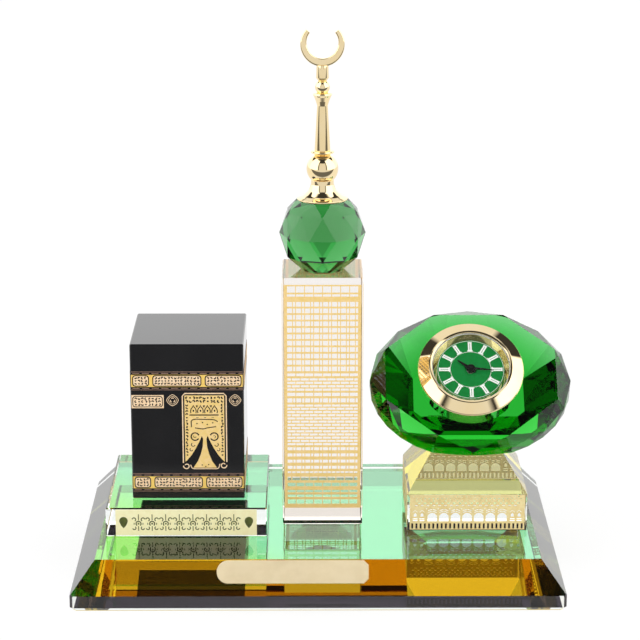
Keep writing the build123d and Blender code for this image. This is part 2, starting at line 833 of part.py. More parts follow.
def make_motion_work():
    """Cannon pinion, minute wheel with its pinion and shaft, and hour wheel on its pipe."""
    cannon_top = minute_hand_level + hand_t
    cannon = ring(cannon_r, centre_shaft_r, motion_low, cannon_top)
    cannon += gear(cannon_teeth, motion_module, motion_low, motion_low + wheel_t + 0.05, centre_shaft_r)
    minute_turn = mesh_turn(cannon_teeth, 0.0, minute_teeth, -90.0)
    pinion_turn = 0.0
    pinion_top = hour_wheel_low + wheel_t + 0.05
    minute = gear(minute_teeth, motion_module, motion_low, motion_low + wheel_t, 0, minute_turn)
    minute += gear(minute_pinion_teeth, motion_module, motion_low + wheel_t, pinion_top, 0, pinion_turn)
    minute += ring(minute_shaft_r, 0, knob_top, motion_low)
    hour_turn = mesh_turn(minute_pinion_teeth, pinion_turn, hour_teeth, 90.0)
    hour = gear(hour_teeth, motion_module, hour_wheel_low, hour_wheel_low + wheel_t, hour_pipe_bore, hour_turn)
    hour += ring(hour_pipe_r, hour_pipe_bore, hour_wheel_low + wheel_t, hour_hand_level + hand_t)
    return cannon, Pos(minute_x, minute_y, 0) * minute, hour


def make_train():
    """Centre wheel on its shaft, third wheel with its pinion, and rotor with its pinion and magnet."""
    pinion_low = centre_wheel_low - 0.1
    centre = gear(centre_teeth, train_module, centre_wheel_low, centre_wheel_low + wheel_t)
    centre += ring(centre_shaft_r, 0, centre_wheel_low - 0.2, minute_hand_level)
    third_pinion_turn = mesh_turn(centre_teeth, 0.0, train_pinion_teeth, third_angle)
    third = gear(train_pinion_teeth, train_module, pinion_low, centre_wheel_low + wheel_t + 0.05, 0,
                 third_pinion_turn)
    third += ring(pivot_r * 1.5, 0, third_wheel_low, pinion_low)
    third += gear(third_teeth, train_module, third_wheel_low, third_wheel_low + wheel_t)
    third += ring(pivot_r, 0, centre_wheel_low + wheel_t, main_plate_bottom + 0.3)
    third += ring(pivot_r, 0, bridge_bottom + 0.1, third_wheel_low)
    rotor_turn = mesh_turn(third_teeth, 0.0, train_pinion_teeth, rotor_angle)
    rotor = gear(train_pinion_teeth, train_module, rotor_top, third_wheel_low + wheel_t + 0.1, 0, rotor_turn)
    rotor += ring(rotor_r, 0, rotor_top - rotor_h, rotor_top)
    rotor += ring(pivot_r, 0, third_wheel_low + wheel_t, main_plate_bottom + 0.3)
    rotor += ring(pivot_r, 0, bridge_bottom + 0.1, rotor_top - rotor_h)
    return centre, Pos(third_x, third_y, 0) * third, Pos(rotor_x, rotor_y, 0) * rotor


def bar_between(start, end, width):
    """Flat bar in the dial plane with round ends."""
    (x0, y0), (x1, y1) = start, end
    length = math.hypot(x1 - x0, y1 - y0)
    turn = math.degrees(math.atan2(y1 - y0, x1 - x0))
    bar = Pos((x0 + x1) / 2, (y0 + y1) / 2) * Rot(0, 0, turn) * Rectangle(length, width)
    return bar + Pos(x0, y0) * Circle(width / 2) + Pos(x1, y1) * Circle(width / 2)


def make_motor():
    """Stator, coil bobbin and coil winding of the stepping motor."""
    core_half = coil_length / 2 + 0.9
    left = (coil_x - core_half, coil_y)
    right = (coil_x + core_half, coil_y)
    low_right = (coil_x + core_half, rotor_y - 0.9)
    rotor_at = (rotor_x, rotor_y)
    path = bar_between(left, right, coil_core) + bar_between(left, rotor_at, stator_arm)
    path += bar_between(rotor_at, low_right, stator_arm) + bar_between(low_right, right, stator_arm)
    path += Pos(*rotor_at) * Circle(stator_lobe_r)
    path -= Pos(*rotor_at) * Circle(stator_hole_r)
    stator = Pos(0, 0, stator_top - stator_t) * extrude(path, amount=stator_t)
    middle = bridge_top + coil_flange / 2
    core = Box(2 * core_half, coil_core, stator_t)
    core = Pos(coil_x, coil_y, stator_top - stator_t / 2) * core
    bobbin = Box(coil_length, 1.6, 1.4)
    for side in (-1, 1):
        bobbin += Pos(side * (coil_length - coil_flange_t) / 2, 0, 0) * Box(coil_flange_t, coil_flange, coil_flange)
    winding = Rot(0, 90, 0) * Cylinder(coil_r, coil_length - 2 * coil_flange_t)
    winding -= Box(coil_length, 1.6, 1.4)
    place = Pos(coil_x, coil_y, middle)
    return stator, place * bobbin - core, place * winding


def make_electronics():
    board = ring(bridge_r - 0.4, 0, bridge_top, bridge_top + board_t)
    reach = board_side + 2
    keep = Pos(board_corner_x - reach / 2, board_corner_y - reach / 2, bridge_top) * Box(reach, reach, 4 * board_t)
    board = board & keep
    for x, y in pillar_places():
        board -= Pos(x, y, 0) * ring(pillar_r + 0.2, 0, bridge_top, bridge_top + board_t)
    chip_low = bridge_top + board_t
    chip = Pos(board_corner_x - 3.4, board_corner_y - 2.4, 0) * ring(chip_r, 0, chip_low, chip_low + chip_h)
    chip = fillet(chip.edges().group_by(Axis.Z)[-1], chip_h * 0.8)
    quartz = Pos(quartz_x, quartz_y, chip_low + quartz_r) * Rot(0, 90, 0) * Cylinder(quartz_r, quartz_length)
    return board, chip, quartz


def make_battery():
    place = Pos(battery_x, battery_y, 0)
    cell = ring(battery_r, 0, battery_top - battery_h, battery_top)
    cell = chamfer(cell.edges().group_by(Axis.Z)[0], 0.3)
    strip = Pos(0, 0, battery_top + contact_t / 2) * Box(2 * battery_r, contact_w, contact_t)
    leg_h = main_plate_bottom - battery_top
    strip += Pos(battery_r, 0, battery_top + leg_h / 2) * Box(contact_t, contact_w, leg_h)
    return place * cell, place * strip


def make_bridge():
    plate = ring(bridge_r, 0, bridge_bottom, bridge_top)
    plate -= Pos(minute_x, minute_y, 0) * ring(minute_shaft_r + shaft_fit, 0, bridge_bottom, bridge_top)
    plate -= Pos(battery_x, battery_y, 0) * ring(battery_r + battery_fit, 0, bridge_bottom, bridge_top)
    for x, y in ((third_x, third_y), (rotor_x, rotor_y)):
        plate -= Pos(x, y, 0) * ring(pivot_r + shaft_fit, 0, bridge_bottom, bridge_top)
    screws = []
    for x, y in pillar_places():
        plate -= Pos(x, y, 0) * ring(screw_shank_r, 0, bridge_bottom, bridge_top)
        screw = ring(screw_shank_r, 0, bridge_bottom, bridge_top + screw_shank)
        screw += ring(screw_head_r, 0, bridge_bottom - screw_head_h, bridge_bottom)
        screw -= Pos(0, 0, bridge_bottom - screw_head_h) * Box(2 * screw_head_r, 0.2, 0.3)
        screws += (Pos(x, y, 0) * screw).solids()
    return plate, group(screws)


def lug_pair(radius, span, low, high):
    """Two opposite sectors about Z, of the battery cover's lugs or of the notches that let them out."""
    pair = None
    for middle in (0, 180):
        points = [(0, 0)] + [polar(radius, middle + span * (k / 6 - 0.5)) for k in range(7)]
        sector = Pos(0, 0, low) * extrude(make_face(Polyline(*points, close=True)), amount=high - low)
        pair = sector if pair is None else pair + sector
    return pair


def make_back():
    at_battery = Pos(battery_x, battery_y, 0)
    cover = ring(case_bore_r - case_fit, 0, back_cover_bottom, back_cover_top)
    cover -= at_battery * ring(battery_cover_r + cover_fit, 0, back_cover_bottom, back_cover_top)
    notches = Rot(0, 0, battery_cover_turn) * lug_pair(lug_r + 0.15, notch_span, back_cover_bottom, back_cover_top)
    cover -= at_battery * notches
    cover -= Pos(minute_x, minute_y, 0) * ring(minute_shaft_r + shaft_fit, 0, back_cover_bottom, back_cover_top)
    lug_low = back_cover_top + lug_gap
    lid = ring(battery_cover_r, 0, back_cover_bottom, lug_low)
    lid += lug_pair(lug_r, lug_span, lug_low, lug_low + lug_h)
    boss_top = battery_top - battery_h
    lid += ring(battery_r * 0.6, 0, lug_low, boss_top)
    lid -= Pos(0, 0, back_cover_bottom + coin_slot_depth / 2) * Box(2 * battery_r, coin_slot_w, coin_slot_depth)
    knob = gear(setting_knob_flutes, 2 * setting_knob_r / (setting_knob_flutes + 1.6),
                knob_top - setting_knob_h, knob_top)
    return cover, at_battery * lid, Pos(minute_x, minute_y, 0) * knob


def build():
    base, film = make_base()
    nodes = {"base_block": base, "base_film": film, "name_plate": make_name_plate()}
    nodes["shrine_plinth"], nodes["plinth_strip"] = make_plinth()
    shrine = make_shrine()
    for name, piece in zip(("shrine_block", "upper_band", "lower_band", "door_panel", "cartouche", "roundels"),
                           shrine):
        nodes[name] = piece
    nodes["tower_block"], nodes["tower_grid_front"], nodes["tower_grid_side"] = make_tower()
    ball, ball_low, ball_high = make_ball()
    on_tower = Pos(tower_x, tower_y, base_h + tower_h - ball_low)
    nodes["faceted_ball"] = on_tower * ball
    for name, piece in make_finial(ball_high).items():
        nodes[name] = on_tower * piece
    nodes["clock_pedestal"], nodes["arcade_wide"], nodes["arcade_side"] = make_pedestal()
    nodes["clock_crystal"] = make_crystal()

    hour_hand, minute_hand = make_hands()
    case_body, grip_ring = make_case()
    cannon, minute_wheel, hour_wheel = make_motion_work()
    centre_wheel, third_wheel, rotor = make_train()
    stator, bobbin, winding = make_motor()
    board, chip, quartz = make_electronics()
    battery, contact = make_battery()
    bridge, screws = make_bridge()
    back_cover, battery_cover, setting_knob = make_back()
    dial = ring(dial_r, dial_hole_r, -dial_t, 0)
    insert = {
        "bezel": make_bezel(), "reflector_ring": make_reflector(), "lens": make_lens(),
        "lens_gasket": make_gasket(), "dial": dial, "hour_marks": make_marks(),
        "dial_tracks": make_tracks(), "hour_hand": hour_hand, "minute_hand": minute_hand,
        "case_body": case_body, "grip_ring": grip_ring, "main_plate": make_main_plate(),
        "centre_wheel": centre_wheel, "cannon_pinion": cannon, "minute_wheel": minute_wheel,
        "hour_wheel": hour_wheel, "third_wheel": third_wheel, "rotor": rotor, "stator": stator,
        "coil_bobbin": bobbin, "coil_winding": winding, "circuit_board": board, "chip_cap": chip,
        "quartz_can": quartz, "battery": battery, "battery_contact": contact, "train_bridge": bridge,
        "bridge_screws": screws, "back_cover": back_cover, "battery_cover": battery_cover,
        "setting_knob": setting_knob,
    }
    seat = gem_frame(insert_rise).location
    for name, piece in insert.items():
        nodes[name] = seat * piece
    return nodes


for name, piece in build().items():
    export_step(flat(piece), f"parts/{name}.step")
print("nodes written:", len(os.listdir("parts")))
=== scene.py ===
import json
import math
import random

import bmesh
import bpy
from mathutils import Matrix, Vector


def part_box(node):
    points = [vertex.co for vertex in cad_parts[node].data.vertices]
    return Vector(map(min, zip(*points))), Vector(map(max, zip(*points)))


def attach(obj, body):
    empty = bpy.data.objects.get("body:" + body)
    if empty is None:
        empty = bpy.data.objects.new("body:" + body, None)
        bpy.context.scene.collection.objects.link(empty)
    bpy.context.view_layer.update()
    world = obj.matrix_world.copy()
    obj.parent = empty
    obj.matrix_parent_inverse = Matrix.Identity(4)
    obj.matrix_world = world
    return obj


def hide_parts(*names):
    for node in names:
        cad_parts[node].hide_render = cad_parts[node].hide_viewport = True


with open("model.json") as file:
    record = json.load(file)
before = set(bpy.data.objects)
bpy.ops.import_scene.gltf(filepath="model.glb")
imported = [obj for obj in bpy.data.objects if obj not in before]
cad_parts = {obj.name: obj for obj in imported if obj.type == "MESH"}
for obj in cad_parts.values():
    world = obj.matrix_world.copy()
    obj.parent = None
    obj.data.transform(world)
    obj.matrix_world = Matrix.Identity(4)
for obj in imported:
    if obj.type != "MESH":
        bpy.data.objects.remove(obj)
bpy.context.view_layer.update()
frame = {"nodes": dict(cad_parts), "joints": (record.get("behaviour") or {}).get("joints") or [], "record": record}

nodes = frame["nodes"]
nodeSlots = {part["node"]: part["material_slot"] for part in frame["record"]["subparts"]}
mm = 0.001

# Distances within which points or levels count as one, and the bend within which faces count as flat
near = {"point": 0.002 * mm, "level": 0.01 * mm, "cut": 0.001 * mm, "print": 0.0005 * mm, "bend": 0.4}


# Shape helpers

# Turns a bmesh into a piece: points and faces only, so that no old normals are left on it. It rides on its
# body and takes the material of the CAD node's slot, unless another material is given
def settle(name, work, node, material=None, body="stand", smooth=False):
    work.verts.index_update()
    points = [v.co.copy() for v in work.verts]
    faces = [[v.index for v in f.verts] for f in work.faces]
    work.free()
    mesh = bpy.data.meshes.new(name)
    mesh.from_pydata(points, [], faces)
    mesh.validate()
    if smooth:
        mesh.shade_smooth()
        mesh.set_sharp_from_angle(angle=math.radians(turnedSettings["smoothAngle"]))
    piece = bpy.data.objects.new(name, mesh)
    bpy.context.scene.collection.objects.link(piece)
    slotName = nodeSlots[node]
    mesh.materials.append(material or slotMaterials[slotName])
    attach(piece, body)
    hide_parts(node)


# A CAD node's faces as a bmesh, with the triangles of each flat face joined
def flatFaces(node):
    work = bmesh.new()
    work.from_mesh(nodes[node].data)
    bmesh.ops.remove_doubles(work, verts=work.verts, dist=near["point"])
    bmesh.ops.dissolve_limit(work, angle_limit=math.radians(near["bend"]), verts=work.verts, edges=work.edges)
    return work


# The middle of a node's foot
def footMiddle(node):
    low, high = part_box(node)
    return Vector(((low.x + high.x) / 2, (low.y + high.y) / 2, low.z))


def liesAt(face, level):
    return all(abs(v.co.z - level) < near["level"] for v in face.verts)


# Takes out the part of a flat level face that lies inside a rectangle
def openPatch(work, level, low, high):
    for axis in (0, 1):
        for place in (low[axis], high[axis]):
            normal = Vector((0, 0, 0))
            normal[axis] = 1.0
            bmesh.ops.bisect_plane(work, geom=[*work.verts, *work.edges, *work.faces], dist=near["cut"],
                                   plane_co=normal * place, plane_no=normal)
    inside = []
    for face in work.faces:
        middle = face.calc_center_median()
        if liesAt(face, level) and low[0] < middle.x < high[0] and low[1] < middle.y < high[1]:
            inside.append(face)
    bmesh.ops.delete(work, geom=inside, context="FACES")


def dropLevelFace(work, level):
    bmesh.ops.delete(work, geom=[f for f in work.faces if liesAt(f, level)], context="FACES")


# The rectangle round a block's level faces
def faceRectangle(work, level):
    spots = [v.co for f in work.faces if liesAt(f, level) for v in f.verts]
    low = (min(s.x for s in spots), min(s.y for s in spots))
    high = (max(s.x for s in spots), max(s.y for s in spots))
    return low, high


# Rounds the corners of an outline. Each point is (across, up, radius), in millimetres
def roundedLine(points, closed=True, steps=5):
    result = []
    count = len(points)
    for i, (x, y, radius) in enumerate(points):
        if radius <= 0 or (not closed and i in (0, count - 1)):
            result.append((x, y))
            continue
        here = Vector((x, y))
        before = Vector(points[i - 1][:2]) - here
        after = Vector(points[(i + 1) % count][:2]) - here
        turn = before.angle(after)
        reach = min(radius / math.tan(turn / 2), 0.49 * before.length, 0.49 * after.length)
        start = here + before.normalized() * reach
        end = here + after.normalized() * reach
        for k in range(steps + 1):
            t = k / steps
            bent = start * (1 - t) ** 2 + here * 2 * t * (1 - t) + end * t ** 2
            result.append((bent.x, bent.y))
    return result


turnedSettings = {"sides": 112, "bezelSides": 160, "smoothAngle": 38}


# Turns an outline of (radius, height) in millimetres about the Z axis of a place
def turned(outline, place, sides=turnedSettings["sides"]):
    work = bmesh.new()
    rings = []
    for radius, height in outline:
        if radius < 1e-6:
            rings.append([work.verts.new(place @ Vector((0, 0, height * mm)))])
            continue
        ringVerts = []
        for k in range(sides):
            angle = 2 * math.pi * k / sides
            spot = Vector((radius * math.cos(angle), radius * math.sin(angle), height)) * mm
            ringVerts.append(work.verts.new(place @ spot))
        rings.append(ringVerts)
    for lower, upper in zip(rings, rings[1:] + rings[:1]):
        for k in range(sides):
            after = (k + 1) % sides
            if len(lower) == 1 and len(upper) == 1:
                break
            if len(lower) == 1:
                work.faces.new((lower[0], upper[after], upper[k]))
            elif len(upper) == 1:
                work.faces.new((lower[k], lower[after], upper[0]))
            else:
                work.faces.new((lower[k], lower[after], upper[after], upper[k]))
    bmesh.ops.recalc_face_normals(work, faces=work.faces)
    return work


# Shader helpers

# Fills a node's inputs: an output is linked, and a number or a colour is set
def fillInputs(tree, node, inputs):
    for label, value in dict(inputs).items():
        socket = node.inputs[label]
        if isinstance(value, bpy.types.NodeSocket):
            tree.links.new(value, socket)
        elif isinstance(value, tuple):
            socket.default_value = (*value, 1)
        else:
            socket.default_value = value


def addNode(tree, kind, inputs=(), **values):
    node = tree.nodes.new("ShaderNode" + kind)
    for label, value in values.items():
        setattr(node, label, value)
    fillInputs(tree, node, inputs)
    return node


def addMath(tree, operation, *values):
    return addNode(tree, "Math", enumerate(values), operation=operation).outputs[0]


# Spreads a value from one range to another
def spread(tree, value, begins, ends, low=0.0, high=1.0, kind="LINEAR"):
    inputs = {"Value": value, "From Min": begins, "From Max": ends, "To Min": low, "To Max": high}
    return addNode(tree, "MapRange", inputs, interpolation_type=kind).outputs["Result"]


def mixShaders(tree, share, first, second):
    return addNode(tree, "MixShader", {0: share, 1: first, 2: second}).outputs[0]


# The X, Y and Z of a texture coordinate
def splitPlace(tree, label):
    place = addNode(tree, "TexCoord").outputs[label]
    return addNode(tree, "SeparateXYZ", {0: place}).outputs


def newMaterial(name):
    material = bpy.data.materials.new(name)
    material.use_nodes = True
    tree = material.node_tree
    return material, tree, tree.nodes["Principled BSDF"]


def showSurface(tree, surface):
    tree.links.new(surface, tree.nodes["Material Output"].inputs["Surface"])


# A node group with its own noise. Colours and numbers are its inputs, and it ends in the outputs named
def noiseGroup(name, inputs, outputs, detail):
    group = bpy.data.node_groups.new(name, "ShaderNodeTree")
    for label, value in inputs.items():
        kind = "NodeSocketColor" if isinstance(value, tuple) else "NodeSocketFloat"
        group.interface.new_socket(label, in_out="INPUT", socket_type=kind).default_value = value
    for label, kind in outputs.items():
        group.interface.new_socket(label, in_out="OUTPUT", socket_type=kind)
    entry = group.nodes.new("NodeGroupInput").outputs
    leave = group.nodes.new("NodeGroupOutput")
    place = addNode(group, "TexCoord").outputs["Object"]
    noise = addNode(group, "TexNoise", {"Vector": place, "Scale": entry["Scale"], "Detail": detail})
    return group, entry, leave, noise.outputs["Fac"]


# A roughness that changes between two values in soft patches, as handling leaves it
def makeHandlingGroup():
    group, entry, leave, noise = noiseGroup("handlingMarks", {"Scale": 120.0, "Low": 0.02, "High": 0.06},
                                            {"Roughness": "NodeSocketFloat"}, 4.0)
    rough = spread(group, noise, 0.35, 0.7, entry["Low"], entry["High"])
    fillInputs(group, leave, {"Roughness": rough})
    return group


# Two tones in fine grain, and a height for bump
def makeGrainGroup():
    inputs = {"Tone": (0.8, 0.6, 0.3, 1), "Other Tone": (0.8, 0.5, 0.3, 1), "Scale": 900.0}
    outputs = {"Colour": "NodeSocketColor", "Height": "NodeSocketFloat"}
    group, entry, leave, noise = noiseGroup("goldGrain", inputs, outputs, 3.0)
    blend = addNode(group, "Mix", {"Factor": spread(group, noise, 0.4, 0.62), "A": entry["Tone"],
                                   "B": entry["Other Tone"]}, data_type="RGBA")
    fillInputs(group, leave, {"Colour": blend.outputs["Result"], "Height": noise})
    return group


handlingGroup = makeHandlingGroup()
grainGroup = makeGrainGroup()


# Glass: what it absorbs, and how much of that in each metre
glassSettings = {
    "clearGlass": {"tint": (0.985, 1.0, 0.99), "ior": 1.52, "absorb": (0.80, 0.95, 0.86), "density": 1.2},
    "warmGlass": {"tint": (1.0, 0.99, 0.985), "ior": 1.52, "absorb": (0.75, 0.50, 0.25), "density": 4.0},
    "greenGlass": {"tint": (0.90, 1.0, 0.92), "ior": 1.54, "absorb": (0.20, 0.84, 0.30), "density": 175.0},
    "ballGlass": {"tint": (0.92, 1.0, 0.94), "ior": 1.54, "absorb": (0.17, 0.68, 0.27), "density": 150.0},
    "lensGlass": {"tint": (0.99, 1.0, 0.99), "ior": 1.46, "absorb": (0.95, 1.0, 0.97), "density": 0.5},
}
openGlass = ("clearGlass", "warmGlass", "lensGlass")  # shadow and diffuse rays go straight in


def makeGlass(name):
    settings = glassSettings[name]
    material, tree, shader = newMaterial(name)
    fillInputs(tree, shader, {"Base Color": settings["tint"], "Roughness": 0.0, "IOR": settings["ior"],
                              "Transmission Weight": 1.0})
    absorb = addNode(tree, "VolumeAbsorption", {"Color": settings["absorb"], "Density": settings["density"]})
    tree.links.new(absorb.outputs["Volume"], tree.nodes["Material Output"].inputs["Volume"])
    if name in openGlass:
        path = addNode(tree, "LightPath").outputs
        either = addMath(tree, "MAXIMUM", path["Is Shadow Ray"], path["Is Diffuse Ray"])
        clear = addNode(tree, "BsdfTransparent").outputs[0]
        showSurface(tree, mixShaders(tree, either, shader.outputs[0], clear))
    return material


# The coating under the base reflects one colour at each angle. Each stage begins and is complete at a value
# of Layer Weight's Facing, 0 straight on and 1 along the face. The green runs from lime at the front left
# corner to mint, over these distances. The lime is a painted tint, not the coating's own colour: it stands in for
# how the film looks in light that comes through the plinth
filmSettings = {
    "roughness": 0.01,
    "straight": (0.74, 0.60, 0.28), "green": (0.13, 0.19),
    "lime": (0.25, 0.68, 0.12), "mint": (0.21, 0.62, 0.33), "limeReach": (27.0 * mm, 52.0 * mm),
    "stages": (
        {"colour": (0.22, 0.24, 0.05), "facing": (0.26, 0.29)},
        {"colour": (0.85, 0.70, 0.02), "facing": (0.37, 0.41)},
        {"colour": (0.62, 0.35, 0.01), "facing": (0.44, 0.51)},
        {"colour": (0.64, 0.63, 0.26), "facing": (0.548, 0.566)},
        {"colour": (0.45, 0.07, 0.22), "facing": (0.62, 0.66)},
        {"colour": (0.040, 0.030, 0.042), "facing": (0.68, 0.72)},
    ),
}


def makeFilm():
    settings = filmSettings
    material, tree, shader = newMaterial("coatedFilm")
    facing = addNode(tree, "LayerWeight", {"Blend": 0.5}).outputs["Facing"]
    x, y, z = splitPlace(tree, "Object")
    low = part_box("base_film")[0]
    # Painted tint: the share of lime, highest at the front left corner, stands in for the film seen in light that
    # comes through the plinth
    begins, ends = [low.x + low.y + 2 * reach for reach in settings["limeReach"]]
    paintedLimeShare = spread(tree, addMath(tree, "ADD", x, y), begins, ends, kind="SMOOTHSTEP")
    green = addNode(tree, "Mix", {"Factor": paintedLimeShare}, data_type="RGBA")
    fillInputs(tree, green, {"A": settings["lime"], "B": settings["mint"]})
    fillInputs(tree, shader, {"Base Color": green.outputs["Result"], "Metallic": 1.0,
                              "Roughness": settings["roughness"]})

    def mirror(colour):
        return addNode(tree, "BsdfGlossy", {"Color": colour, "Roughness": settings["roughness"]}).outputs[0]

    def shareAt(stage):
        return spread(tree, facing, *stage, kind="SMOOTHSTEP")

    result = mixShaders(tree, shareAt(settings["green"]), mirror(settings["straight"]), shader.outputs[0])
    for stage in settings["stages"]:
        result = mixShaders(tree, shareAt(stage["facing"]), result, mirror(stage["colour"]))
    showSurface(tree, result)
    return material


# All other finishes: two tones and the scale of their grain, and a roughness from clean to handled. Each row
# names what differs from the plain finish, the gilt print or the polished metal
plainFinish = {"scale": 500.0, "metallic": 0.0, "rough": (0.35, 0.5), "bump": 0.0, "specular": 0.5,
               "handling": 120.0}
giltPrint = {"scale": 700.0, "metallic": 0.15, "rough": (0.34, 0.46), "bump": 0.3}
polish = {"metallic": 1.0, "rough": (0.03, 0.07)}
finishSettings = {
    "gilding": {**giltPrint, "tones": ((0.90, 0.64, 0.22), (0.94, 0.68, 0.30))},
    "roseGilding": {**giltPrint, "tones": ((1.0, 0.76, 0.50), (0.93, 0.66, 0.40))},
    "brownGilding": {**giltPrint, "tones": ((0.30, 0.18, 0.13), (0.24, 0.14, 0.10))},
    "brightGilding": {**giltPrint, "tones": ((0.95, 0.66, 0.16), (0.90, 0.58, 0.14))},
    "arcadeGilding": {**giltPrint, "tones": ((0.96, 0.80, 0.42), (0.90, 0.70, 0.32)), "bump": 0.2},
    "creamGilding": {**giltPrint, "tones": ((0.98, 0.93, 0.58), (0.95, 0.88, 0.52)), "scale": 500.0,
                     "metallic": 0.1, "bump": 0.2},
    "paleGold": {"tones": ((0.92, 0.77, 0.50), (0.88, 0.73, 0.46)), "scale": 260.0, "metallic": 0.35,
                 "rough": (0.28, 0.38), "bump": 0.1},
    "ringGold": {**polish, "tones": ((0.62, 0.54, 0.24), (0.66, 0.58, 0.28)), "scale": 120.0},
    "polishedGold": {**polish, "tones": ((0.95, 0.76, 0.43), (0.96, 0.79, 0.49)), "scale": 90.0},
    "blackGlass": {"tones": ((0.010, 0.010, 0.011), (0.012, 0.012, 0.013)), "scale": 60.0,
                   "rough": (0.01, 0.03)},
    "oliveInk": {"tones": ((0.055, 0.060, 0.014), (0.10, 0.12, 0.02)), "scale": 600.0},
    "whitePlastic": {"tones": ((0.82, 0.82, 0.80), (0.78, 0.78, 0.76)), "scale": 300.0,
                     "rough": (0.32, 0.45)},
    "dialGreen": {"tones": ((0.002, 0.215, 0.035), (0.003, 0.235, 0.042)), "rough": (0.4, 0.5),
                  "specular": 0.12},
    "blackPlastic": {"tones": ((0.014, 0.014, 0.014), (0.020, 0.020, 0.020)), "scale": 300.0,
                     "rough": (0.25, 0.4)},
    "dialWhite": {"tones": ((0.98, 1.0, 0.97), (0.95, 0.98, 0.94)), "scale": 800.0},
    "handBlack": {"tones": ((0.012, 0.012, 0.012), (0.018, 0.018, 0.018)), "scale": 400.0, "metallic": 0.2,
                  "rough": (0.2, 0.3)},
    "gripRubber": {"tones": ((0.020, 0.020, 0.020), (0.030, 0.030, 0.030)), "rough": (0.45, 0.6)},
    "gearPlastic": {"tones": ((0.72, 0.70, 0.62), (0.66, 0.64, 0.56))},
    "gearBrass": {"tones": ((0.72, 0.52, 0.20), (0.66, 0.46, 0.18)), "metallic": 1.0, "rough": (0.2, 0.32)},
    "steel": {"tones": ((0.55, 0.55, 0.56), (0.48, 0.48, 0.50)), "scale": 400.0, "metallic": 1.0,
              "rough": (0.2, 0.32)},
    "copperWire": {"tones": ((0.72, 0.32, 0.14), (0.55, 0.22, 0.10)), "scale": 1500.0, "metallic": 1.0,
                   "rough": (0.28, 0.4)},
    "boardGreen": {"tones": ((0.02, 0.14, 0.05), (0.03, 0.18, 0.06)), "scale": 900.0, "rough": (0.3, 0.45)},
    "blackResin": {"tones": ((0.012, 0.012, 0.012), (0.02, 0.02, 0.02)), "scale": 300.0, "rough": (0.3, 0.4)},
}
bumpDepth = 0.02 * mm


def makeFinish(name):
    settings = {**plainFinish, **finishSettings[name]}
    material, tree, shader = newMaterial(name)
    tone, otherTone = settings["tones"]
    grain = addNode(tree, "Group", {"Tone": tone, "Other Tone": otherTone, "Scale": settings["scale"]},
                    node_tree=grainGroup).outputs
    low, high = settings["rough"]
    handling = addNode(tree, "Group", {"Scale": settings["handling"], "Low": low, "High": high},
                       node_tree=handlingGroup).outputs
    fillInputs(tree, shader, {"Base Color": grain["Colour"], "Roughness": handling["Roughness"],
                              "Metallic": settings["metallic"], "Specular IOR Level": settings["specular"]})
    if settings["bump"] > 0:
        relief = addNode(tree, "Bump", {"Strength": settings["bump"], "Distance": bumpDepth,
                                        "Height": grain["Height"]})
        fillInputs(tree, shader, {"Normal": relief.outputs["Normal"]})
    return material


# Each slot of the record takes the material of its own name
def makeSlotMaterial(slotName):
    first, *others = slotName.split("_")
    name = first + "".join(word.title() for word in others)
    if name == "coatedFilm":
        return makeFilm()
    return makeGlass(name) if name in glassSettings else makeFinish(name)


slotMaterials = {row["slot"]: makeSlotMaterial(row["slot"]) for row in frame["record"]["materials"]}
for node, slotName in nodeSlots.items():
    dressed = nodes[node].data.materials
    dressed.clear()
    dressed.append(slotMaterials[slotName])
print("materials made")


# Glass blocks. Where one is bonded to the base, both lose the faces between them, so that light passes.
# Where one only stands on another, its foot is lifted by a hair, as the air in the joint
glassJoint = {"lift": 0.03 * mm}
footSettings = {"chamfer": 0.5 * mm, "wider": 0.8 * mm, "filmInset": 0.6 * mm}
glassPieces = (("baseSlab", "base_block", None), ("shrinePlinth", "shrine_plinth", None),
               ("shrineBlock", "shrine_block", None), ("clockPedestal", "clock_pedestal", None),
               ("towerBlock", "tower_block", "warmGlass"), ("facetedBall", "faceted_ball", "ballGlass"),
               ("clockGem", "clock_crystal", None))


# The slab's ground foot: the chamfer round the underside is widened, and the coating stops at its inner edge
def widenFoot(slab):
    settings = footSettings
    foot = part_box("base_block")[0].z
    film = flatFaces("base_film")
    for work, inset in ((slab, settings["wider"]), (film, settings["filmInset"])):
        for v in work.verts:
            if work is film or abs(v.co.z - foot) < near["level"]:
                v.co.x -= math.copysign(inset, v.co.x)
                v.co.y -= math.copysign(inset, v.co.y)
            elif abs(v.co.z - settings["chamfer"]) < 2 * near["level"]:
                v.co.z += settings["wider"]
    settle("baseFilm", film, "base_film")


def dressGlass():
    works = {node: flatFaces(node) for name, node, glass in glassPieces}
    slab = works["base_block"]
    slabFoot, slabTop = [corner.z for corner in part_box("base_block")]
    widenFoot(slab)
    dropLevelFace(slab, slabFoot)
    for node in ("shrine_plinth", "clock_pedestal", "tower_block"):
        openPatch(slab, slabTop, *faceRectangle(works[node], slabTop))
        dropLevelFace(works[node], slabTop)
    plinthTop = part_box("shrine_plinth")[1].z
    openPatch(works["shrine_plinth"], plinthTop, *faceRectangle(works["shrine_block"], plinthTop))
    for node in ("faceted_ball", "clock_crystal"):
        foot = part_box(node)[0].z
        for v in works[node].verts:
            if abs(v.co.z - foot) < near["level"]:
                v.co.z += glassJoint["lift"]
    for name, node, glass in glassPieces:
        settle(name, works[node], node, makeGlass(glass) if glass else None)


dressGlass()
print("glass placed")


# Gilt ornament. A shape is an outline and the holes in it, in the millimetres of the block's face, from the
# middle of its foot
printSettings = {"thick": 0.1, "sunk": 0.02}
printBlocks = {"upper_band": "shrine_block", "lower_band": "shrine_block", "door_panel": "shrine_block",
               "cartouche": "shrine_block", "roundels": "shrine_block", "plinth_strip": "shrine_plinth",
               "tower_grid_front": "tower_block", "tower_grid_side": "tower_block",
               "arcade_wide": "clock_pedestal", "arcade_side": "clock_pedestal"}


def rectangle(left, foot, right, head, radius=0.0):
    corners = ((left, foot), (right, foot), (right, head), (left, head))
    return roundedLine([(u, v, radius) for u, v in corners], steps=4)


